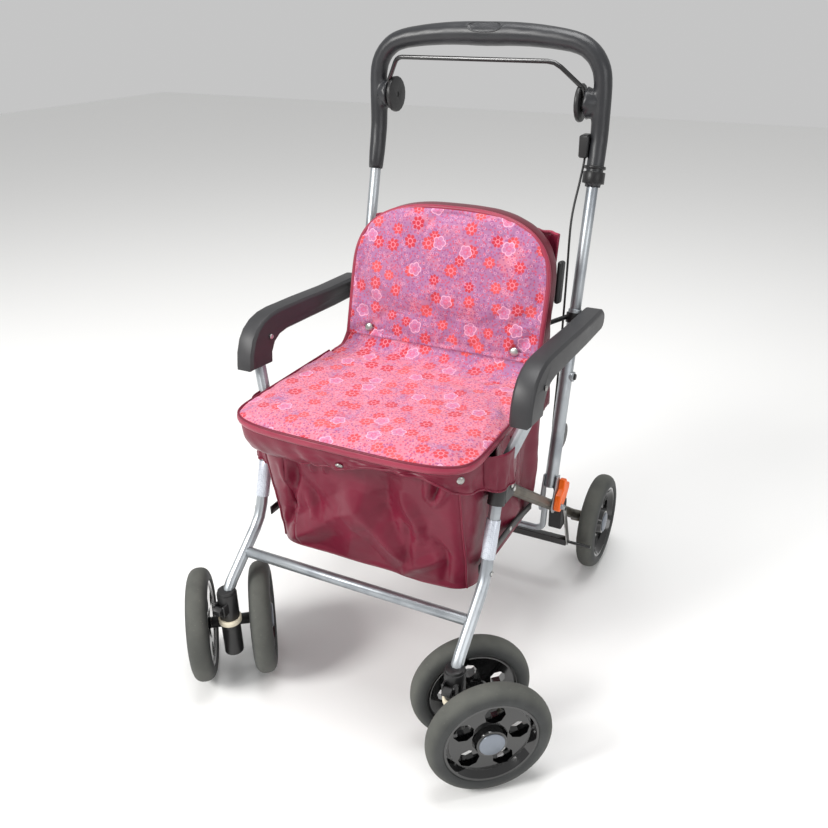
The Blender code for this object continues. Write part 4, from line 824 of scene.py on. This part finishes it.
def back_cushion():
    """The backrest's padded cover with its sewn fold, snaps and piping."""
    stance = Matrix.Translation(BACK_FOOT) @ Matrix.Rotation(pi / 2 - BACK_LEAN, 4, "X")
    pad = mesh_object("back_cushion", cover(rows=72, **BACK))
    side, top = BACK["half_x"] * 0.971, BACK["length"] * 0.972 + 0.0012
    fold = 0.046
    snaps = [Vector((way * SNAP_SPOT[0], SNAP_SPOT[1], 0)) for way in (-1, 1)]

    def held(co):
        near = min((Vector((co.x, co.y, 0)) - s).length for s in snaps)
        rim = abs(co.x) > side or not 0.0028 < co.y < top or co.z < 0
        return rim or abs(co.y - fold) < 0.0020 or near < 0.005
    puff(pad, held, 0.0075, -0.035)
    wrinkle(pad, BACK, (0.012, 0.015, 0.006), 8.0, (24, 55), 0.0011, BACK_CREASES)
    pad.data.transform(stance)
    shade(pad, "print", "chassis")
    rounded(pad)
    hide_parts("backrest_pad")
    lift = Vector((0, 0, 0.0008))
    welt("back_piping", [stance @ (p + lift) for p in rim_line(grow=0.0008, **BACK)], 0.0038, "piping")
    normal = (stance.to_3x3() @ Vector((0, 0, 1))).normalized()
    for mark, snap in zip("LR", snaps):
        stud("back_snap_" + mark, stance @ (snap + Vector((0, 0, 0.0045))), normal, SNAP_R, SNAP_HEIGHT)


def crease_cloth():
    """The printed cloth that runs on from the backrest to the seat over the hinge."""
    line = through([(0.0600, 0.4045, 0), (0.0700, 0.4082, 0), (0.0830, 0.4088, 0), (0.0960, 0.4104, 0),
                    (0.1065, 0.4160, 0), (0.1130, 0.4240, 0), (0.1180, 0.4370, 0)])

    def place(u, v):
        x = 2 * u - 1
        y, z, _ = line(v)
        crease = waves(x, v, 3.0, 4, 11) * 0.0014 * sin(pi * v)
        droop = 0.0075 * (max(0.0, abs(x) - 0.90) / 0.10) ** 2 * (1 - v) ** 0.5
        return at(x * (0.1635 - 0.0145 * v), y, z + crease - droop)
    cloth = sheet_over("crease_cloth", place, 70, 18, PRINT_WALL,
                       cut=lambda u, v: ((2 * u - 1) * 0.150, -0.062 * (1 - v)))
    shade(cloth, "print")
    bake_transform(cloth)
    for side, share in (("L", 0.0), ("R", 1.0)):
        spots = [place(share, 0.30 + 0.70 * k / 16) for k in range(17)]
        edge = welt("crease_piping_" + side, spots, 0.0036, "piping", None)
        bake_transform(edge)


# The bag and the cloths round the seat

BAG_LOW, BAG_HIGH = 0.1965, 0.3775
RAIL_Y = -0.063
RAIL_SLOT_HALF, RAIL_SLOT_DEPTH = 0.018, 0.020
FRONT_END_Y, SIDE_START_Y = -0.118, -0.082
FRONT_SLACK, FRONT_GAIN, SIDE_GAIN = 0.0040, 2.1, 1.6
SEAMS = {"front_R": 0.278, "rear_R": 0.510, "rear_L": 0.750, "front_L": 0.962}

# Folds of the bag: the (way along, height) of both ends, then height and width
FRONT_FOLDS = [(-0.082, 0.128, -0.051, 0.062, -0.0050, 0.026), (-0.051, 0.061, -0.120, 0.004, 0.0060, 0.024),
               (0.011, 0.107, 0.073, 0.022, 0.0090, 0.040), (0.011, 0.107, -0.026, 0.011, 0.0045, 0.026),
               (-0.051, 0.061, 0.011, 0.107, 0.0045, 0.028), (0.052, 0.165, 0.042, 0.117, -0.0060, 0.026),
               (0.042, 0.117, 0.054, 0.082, -0.0060, 0.024), (0.054, 0.082, 0.073, 0.022, -0.0040, 0.012),
               (0.113, 0.180, 0.110, 0.149, 0.0040, 0.008), (0.124, 0.180, 0.117, 0.150, -0.0040, 0.007),
               (0.136, 0.172, 0.117, 0.141, 0.0036, 0.008), (0.075, 0.137, 0.089, 0.103, 0.0050, 0.014),
               (0.089, 0.103, 0.087, 0.074, 0.0036, 0.012), (0.072, 0.088, 0.071, 0.043, -0.0036, 0.010),
               (0.073, 0.022, 0.109, 0.044, 0.0036, 0.012), (0.073, 0.022, 0.057, 0.003, 0.0036, 0.010),
               (0.108, 0.075, 0.122, 0.057, -0.0036, 0.012), (0.122, 0.057, 0.117, 0.008, -0.0036, 0.010),
               (-0.104, 0.140, -0.099, 0.104, 0.0036, 0.010), (-0.084, 0.146, -0.104, 0.071, -0.0050, 0.009),
               (-0.104, 0.071, -0.126, 0.025, -0.0044, 0.009), (-0.052, 0.163, -0.054, 0.145, 0.0030, 0.005),
               (-0.033, 0.165, -0.035, 0.150, 0.0030, 0.005), (-0.076, 0.099, -0.070, 0.066, 0.0036, 0.009)]
SIDE_FOLDS = [(0.030, 0.020, 0.028, 0.170, 0.0050, 0.018), (0.062, 0.000, 0.070, 0.170, -0.0050, 0.022),
              (0.110, 0.010, 0.100, 0.180, 0.0045, 0.024), (0.150, 0.030, 0.160, 0.180, -0.0040, 0.020),
              (0.185, 0.010, 0.180, 0.150, 0.0040, 0.018), (0.070, 0.080, 0.150, 0.020, 0.0030, 0.014)]

# Shares of the way round at which the bag's walls and corners start
BAG_STOPS = (0.0, 0.25, 0.30, 0.50, 0.52, 0.74, 0.76, 0.92, 1.0)


def bag_wall(u, v):
    """A level point of the bag's skin without creases, and the number of its wall or corner."""
    half = 0.1490 + 0.0070 * v ** 0.5
    front = -0.1105 - 0.0385 * v
    rear = 0.1175 + 0.0070 * v
    nose, slant, cut = 0.032, 0.056 + 0.018 * v, 0.013
    stops = [(-half + slant * 0.8, front), (half - nose, front), (half, front + nose), (half, rear - cut),
             (half - cut, rear), (-half + cut, rear), (-half, rear - cut), (-half, front + slant),
             (-half + slant * 0.8, front)]
    corners = {1: (half, front), 3: (half, rear), 5: (-half, rear), 7: (-half, front)}
    k = max(i for i in range(8) if BAG_STOPS[i] <= u)
    t = (u - BAG_STOPS[k]) / (BAG_STOPS[k + 1] - BAG_STOPS[k])
    a, b = Vector(stops[k]), Vector(stops[k + 1])
    if k in corners:
        corner = Vector(corners[k])
        return a.lerp(corner, t).lerp(corner.lerp(b, t), t), k
    return a.lerp(b, t), k


def bag_skin(u, v, proud=0.0):
    """The bag's point at (u, v): slack creased panels, cut out at the top for the seat's rail."""
    spot, k = bag_wall(u, v)
    run = bag_wall(min(u + 0.002, 0.9999), v)[0] - bag_wall(max(u - 0.002, 0.0), v)[0]
    run.normalize()
    out = Vector((run.y, -run.x))
    x, y = spot
    z = (BAG_HIGH - BAG_LOW) * v
    edge = min(1.0, v / 0.05 + 0.25, (1 - v) / 0.05 + 0.3)
    side = max(0.0, min(1.0, (y - FRONT_END_Y) / (SIDE_START_Y - FRONT_END_Y)))
    swell = (1 - side) * (FRONT_GAIN * folds_at(x, z, FRONT_FOLDS) - FRONT_SLACK)
    swell += side * SIDE_GAIN * folds_at(0.115 - y if x < 0 else y + 0.080, z, SIDE_FOLDS)
    swell += waves(x + y, z, 4.0, 20, 48) * 0.0016
    top = BAG_HIGH
    if k in (0, 1, 7):
        top -= 0.0045 * max(0.0, 1 - abs(x - 0.055) / 0.075)
    if abs(y - RAIL_Y) < RAIL_SLOT_HALF:
        top -= RAIL_SLOT_DEPTH * min(1.0, (RAIL_SLOT_HALF - abs(y - RAIL_Y)) / 0.006)
    spot = spot + out * (swell * edge + proud)
    sag = 0.0016 * waves(x, spot.y, 6.0, 18) if v < 0.04 else 0.0
    return at(spot.x, spot.y, BAG_LOW + (top - BAG_LOW) * v + sag)


def shopping_bag():
    """The bag's slack shell under the seat, its floor, its seams and the black stays along its foot."""
    turn = 0.99999
    shell = sewn(sheet_over("bag_cloth", lambda u, v: bag_skin(u * turn, v), 280, 84, seam=True))
    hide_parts("bag")

    def base(u, v):
        centre = at(0, 0.003, BAG_LOW + 0.002)
        return bag_skin(u * turn, 0.0).lerp(centre, v * 0.98) - Vector((0, 0, 0.0012 * sin(pi * v)))
    floor_piece = sewn(sheet_over("bag_floor", base, 120, 10, seam=True))
    pieces = [shell, floor_piece]
    for name, share in SEAMS.items():
        pieces.append(welt("bag_seam_" + name, [bag_skin(share, k / 80, 0.0012) for k in range(81)], SEAM_R))
    pieces.append(welt("bag_hem", [bag_skin(k / 160, 0.0) for k in range(160)], 0.0013, closed=True))
    for side, mark in SIDES:
        ends = [(0.1590, -0.1000, 0.2300), (0.1590, 0.0060, 0.2280), (0.1585, 0.0900, 0.2160)]
        line = through([at(side * x, y, z) for x, y, z in ends])
        stay = sheet_over("bag_stay_" + mark, lambda u, v: line(u) + Vector((0, 0, 0.0120 * (v - 0.5))),
                          30, 2, 0.0018)
        pieces.append(shade(stay, "band", "chassis"))
        for k, share in enumerate((0.06, 0.55)):
            spot = line(share) + Vector((side * 0.0008, 0, 0))
            pieces.append(stud(f"stay_rivet_{mark}_{k}", spot, (side, 0, 0), 0.0034, 0.0016))
    for piece in pieces:
        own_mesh(piece)


def hanging(name, top, hem, wave, folds, body, turn, seed):
    """A gathered strip between two lines, its top edge and its hem, which gives back its place rule."""
    upper, lower = through(top), through(hem)

    def place(u, v):
        away = outward(upper, u, turn)
        gather = sin(u * folds * 2 * pi + 5 * noise.noise(Vector((u * 5, seed, 0))))
        out = wave * v ** 0.7 * (gather * 0.6 + waves(u, v * 0.2, seed, 9, 22))
        spot = upper(u).lerp(lower(u), v ** 3) + away * out
        spot.z = upper(u).z + (lower(u).z - upper(u).z) * v + 0.0016 * waves(u, 0, seed + 3, 12) * v
        return at(*spot)
    strip = sewn(sheet_over(name, place, folds * 16, 16), body=body)
    welt(name + "_hem", [place(k / 120, 1.0) for k in range(121)], SEAM_R, body=body)
    return place


def seat_skirt():
    """The skirt under the seat's front edge and the wraps round the front legs."""
    plan = [(-0.1600, -0.1050), (-0.1560, -0.1280), (-0.1495, -0.1500), (-0.1310, -0.1585),
            (-0.0900, -0.1615), (-0.0300, -0.1635), (0.0150, -0.1640), (0.0600, -0.1640),
            (0.1050, -0.1620), (0.1310, -0.1585), (0.1495, -0.1500), (0.1580, -0.1280), (0.1640, -0.1060)]
    hem = [(-0.1600, -0.0980, 0.3270), (-0.1400, -0.1120, 0.3340), (-0.1142, -0.1260, 0.3410),
           (-0.0417, -0.1530, 0.3621), (0.0124, -0.1630, 0.3729), (0.0350, -0.1640, 0.3810),
           (0.0600, -0.1640, 0.3850), (0.1050, -0.1635, 0.3860), (0.1350, -0.1590, 0.3800),
           (0.1500, -0.1520, 0.3690), (0.1590, -0.1300, 0.3600), (0.1670, -0.1060, 0.3540)]
    top = [(x, y, 0.3945) for x, y in plan]
    front = hanging("seat_skirt", top, hem, 0.0030, 9, "seat", 1.0, 1.0)
    wrap = [(0.1480, -0.1080), (0.1660, -0.1010), (0.1790, -0.0900), (0.1860, -0.0760), (0.1865, -0.0600),
            (0.1830, -0.0460), (0.1720, -0.0380)]
    for (side, mark), low, tall in zip(SIDES, (0.3480, 0.3120), (0.050, 0.086)):
        top = [(side * x, y, 0.3940) for x, y in wrap]
        hem = [(side * x, y, low + 0.003 * sin(x * 90 + y * 60)) for x, y in wrap]
        hanging("leg_wrap_" + mark, top, hem, 0.0018, 5, "front_frame", side, 3.0 + side)
    stud("skirt_snap_R", front(0.900, 0.36), (0.7, -1, 0.1), 0.0052, 0.0026, "seat")
    stud("skirt_snap_L", front(0.480, 0.84), (0.1, -1, -0.7), 0.0052, 0.0026, "seat")


def side_gussets():
    """The cloths that close the sides between the seat's rear corners, the backrest and the bag."""
    foot = Vector((0.1570, 0.1000, 0.3500)), Vector((0.1560, 0.1560, 0.3500))
    head = Vector((0.1560, 0.0960, 0.4020)), Vector((0.1510, 0.1560, 0.4700))
    for side, mark in SIDES:
        def place(u, v, side=side):
            spot = foot[0].lerp(foot[1], u).lerp(head[0].lerp(head[1], u), v)
            fold = 0.0022 * sin(u * 9 + v * 2) * sin(pi * min(1.0, v * 1.2))
            fold += 0.0010 * waves(u, v, 5.0, 3, 8)
            return at(side * (spot.x + fold), spot.y, spot.z)
        # The gussets take the darker nylon: painted shade.
        gusset = sewn(sheet_over("side_gusset_" + mark, place, 30, 30), "nylon_shaded")

    def curtain(u, v):
        x = 2 * u - 1
        y = 0.1245 + 0.0225 * v ** 0.8 + 0.0016 * sin(x * 20) * sin(pi * v)
        return at(x * (0.1545 - 0.004 * v), y, 0.3640 + 0.0720 * v)
    # The curtain takes the darker nylon: painted shade.
    rear = sewn(sheet_over("rear_curtain", curtain, 60, 16), "nylon_shaded")


CLIP_SIZE = (0.008, 0.017, 0.060)
CLIP_SPOT = at(0.1500, 0.1920, 0.5200)


def back_plane(z, behind):
    """The y of the backrest's front plane at a height, or of a plane behind it."""
    rise, slant = 0.28, 1.0385
    return 0.119 + (z - 0.436) * rise + behind * slant


def back_cover():
    """The burgundy cover round the backrest's sides and rear, down to the seat."""
    rim = through(rim_line(grow=0.0010, **BACK))
    profile = through([(0.002, 0.0, 0), (0.004, 0.0016, 0), (0.014, 0.0026, 0), (0.026, 0.0016, 0),
                       (0.0300, -0.004, 0), (0.0310, -0.016, 0), (0.0312, -0.050, 0), (0.0314, -0.140, 0)])

    def place(u, v):
        spot = rim(u)
        depth, grow, _ = profile(v)
        away = outward(rim, u, -1.0)
        x = spot.x + away.x * grow
        rise = spot.y + away.y * grow
        if grow < -0.02:
            x = spot.x * (1 + grow / 0.15)
            rise = 0.09 + (spot.y - 0.09) * (1 + grow / 0.15)
        z = 0.4240 + rise * cos(BACK_LEAN) - 0.018 * max(0.0, 1 - spot.y / 0.02)
        pucker = 0.0008 * waves(u * 8, v, 7.0, 2, 5)
        return at(x + away.x * pucker, back_plane(z, depth - 0.003) + pucker, z)
    # The cover takes the darker nylon: painted shade.
    rear = sewn(sheet_over("back_cover", place, 150, 40), "nylon_shaded")


def back_pocket():
    """The gathered pocket on the rear of the backrest, with a piped hem and a black clip."""
    half = 0.1430

    def place(u, v):
        x = 2 * u - 1
        z = 0.452 + 0.132 * v + 0.004 * (1 - x * x) * v
        round_x = (1 - abs(x) ** 5) ** 0.5
        belly = 0.010 + 0.018 * round_x * (0.55 + 0.45 * sin(pi * v ** 0.8))
        gather = 0.0022 * sin(x * 44) * v ** 4 + 0.0016 * waves(x * 3, v, 9.0, 2, 6)
        return at(x * half, back_plane(z, 0.0265 + belly + gather), z)
    pocket = sewn(sheet_over("pocket_cloth", place, 110, 30, PRINT_WALL))
    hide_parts("rear_pocket")
    welt("pocket_hem", [place(k / 110, 1.0) for k in range(111)], 0.0024, "piping")
    for u, mark in ((0.0, "L"), (1.0, "R")):
        welt("pocket_side_" + mark, [place(u, k / 40) for k in range(41)], 0.0018)
    bm = bmesh.new()
    bmesh.ops.create_cube(bm, size=1.0, matrix=Matrix.Diagonal((*CLIP_SIZE, 1)))
    stance = Matrix.Translation(CLIP_SPOT) @ Matrix.Rotation(-0.16, 4, "X")
    soften(piece_of("pocket_clip", bm, stance, "plastic", "chassis"), 0.0040, segments=4)


# Straps, rivets, the badge's rim and the cable

def strap_rings():
    """The two black elastic bands round the right sleeve's foot."""
    low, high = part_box("cane_strap")
    middle = (low + high) / 2
    lean = Vector((0, sin(UPRIGHT_LEAN), cos(UPRIGHT_LEAN)))
    bore = 0.0127
    rings = {"cane_band": (-0.001, 0.0155, 0.0152), "cane_band_top": (0.0125, 0.0040, 0.0148)}
    for name, (shift, tall, radius) in rings.items():
        profile = [(-tall / 2, bore), (-tall / 2, radius - 0.0004), (-tall / 2 + 0.0008, radius),
                   (tall / 2 - 0.0008, radius), (tall / 2, radius - 0.0004), (tall / 2, bore)]
        band = piece_of(name, spun(profile + profile[:1], 40), facing(lean, middle + lean * shift), "band",
                        "handle")
        if name == "cane_band":
            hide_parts("cane_strap")


def rivets():
    """Rivet heads and screws on the legs and armrests, and the pale bands on the casters."""
    for side, mark in SIDES:
        spot = at(side * 0.1788, -0.1060, 0.2340)
        stud("leg_rivet_" + mark, spot, (side, 0, 0), 0.0036, 0.0020, "front_frame")
        for k, (y, z) in enumerate(((-0.0560, 0.3360), (-0.0480, 0.3270))):
            spot = at(side * 0.1830, y, z)
            stud(f"connector_rivet_{mark}_{k}", spot, (side, 0, 0), 0.0034, 0.0018, "front_frame")
        for face, reach, way in (("in", 0.1812, -side), ("out", 0.2122, side)):
            spot = at(side * reach, -0.0320, 0.4635)
            stud(f"arm_screw_{face}_{mark}", spot, (way, 0, 0), 0.0036, 0.0016, "armrest_" + mark)
        band = [(-0.004, 0.0100), (-0.004, 0.0150), (-0.0032, 0.0156), (0.0032, 0.0156), (0.004, 0.0150),
                (0.004, 0.0100)]
        stance = facing((0, 0, 1), at(side * 0.171, -0.1965, 0.1075))
        piece_of("caster_band_" + mark, spun(band + band[:1], 40), stance, "cream",
                 "caster_" + mark)


BADGE_SPOT = at(0, 0.274, 0.832)
BADGE_TILT = radians(50)
BADGE_HALF, BADGE_RISE = 0.0252, 0.0080


def badge_rim():
    """A plain oval rim round the bare place on the handle's crown."""
    grip, spots = frame["nodes"]["grip"], []
    for k in range(72):
        turn = 2 * pi * k / 72
        across = BADGE_HALF * abs(cos(turn)) ** 0.7 * (1 if cos(turn) > 0 else -1)
        tilt = BADGE_TILT + BADGE_RISE * sin(turn) / 0.0165
        out = Vector((0, -sin(tilt), cos(tilt)))
        _, spot, _, _ = grip.ray_cast(BADGE_SPOT + Vector((across, 0, 0)) + out * 0.05, -out)
        spots.append(spot)
    hose("badge_rim", spots, 0.0009, "grip", "handle", closed=True)


def cable():
    """The brake cable from its block, behind the backrest and down into the right brake box."""
    route = [(0.1545, 0.2581, 0.6796), (0.1543, 0.2550, 0.6690), (0.1535, 0.2450, 0.6480),
             (0.1515, 0.2240, 0.6000), (0.1535, 0.2120, 0.5300), (0.1545, 0.2060, 0.4900),
             (0.1545, 0.2020, 0.4400), (0.1540, 0.1960, 0.3700), (0.1530, 0.1900, 0.2900),
             (0.1560, 0.1880, 0.2200), (0.16575, 0.1820, 0.1843), (0.16575, 0.1820, 0.1763)]
    line = through(route)
    spots = [at(*line(k / 90)) for k in range(91)]
    cord = hose("brake_cable_cord", spots, 0.0016, "plastic")
    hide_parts("brake_cable")
    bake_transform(cord)


LOOK = finishes()
photo_camera()
studio()

# Pieces of the frame by finish; a name without its side stands for the left and the right one
FRAME_FINISHES = {
    "silver": ("lower_tube", "upper_tube", "front_leg", "front_crossbar", "seat_rail", "rear_cross_tube"),
    "steel": ("brake_link",),
    "bar": ("side_bar",),
    "black_steel": ("brake_lever", "brake_bar", "back_frame"),
    "plastic": ("height_button", "hub_cap", "cable_block", "brake_box", "leg_connector", "caster_socket",
                "swivel_lock", "caster_fork", "back_bracket", "seat_board", "guide_disc"),
    "grip": ("grip",),
    "arm": ("armrest",),
    "orange": ("fold_lock",),
    "film": ("reflector_sleeve",),
}
for look, names in FRAME_FINISHES.items():
    for node in frame["nodes"]:
        if node.removesuffix("_L").removesuffix("_R") in names:
            dress(node, look)
wheels()
seat_cushion()
back_cushion()
crease_cloth()
back_cover()
back_pocket()
side_gussets()
shopping_bag()
seat_skirt()
strap_rings()
rivets()
badge_rim()
cable()
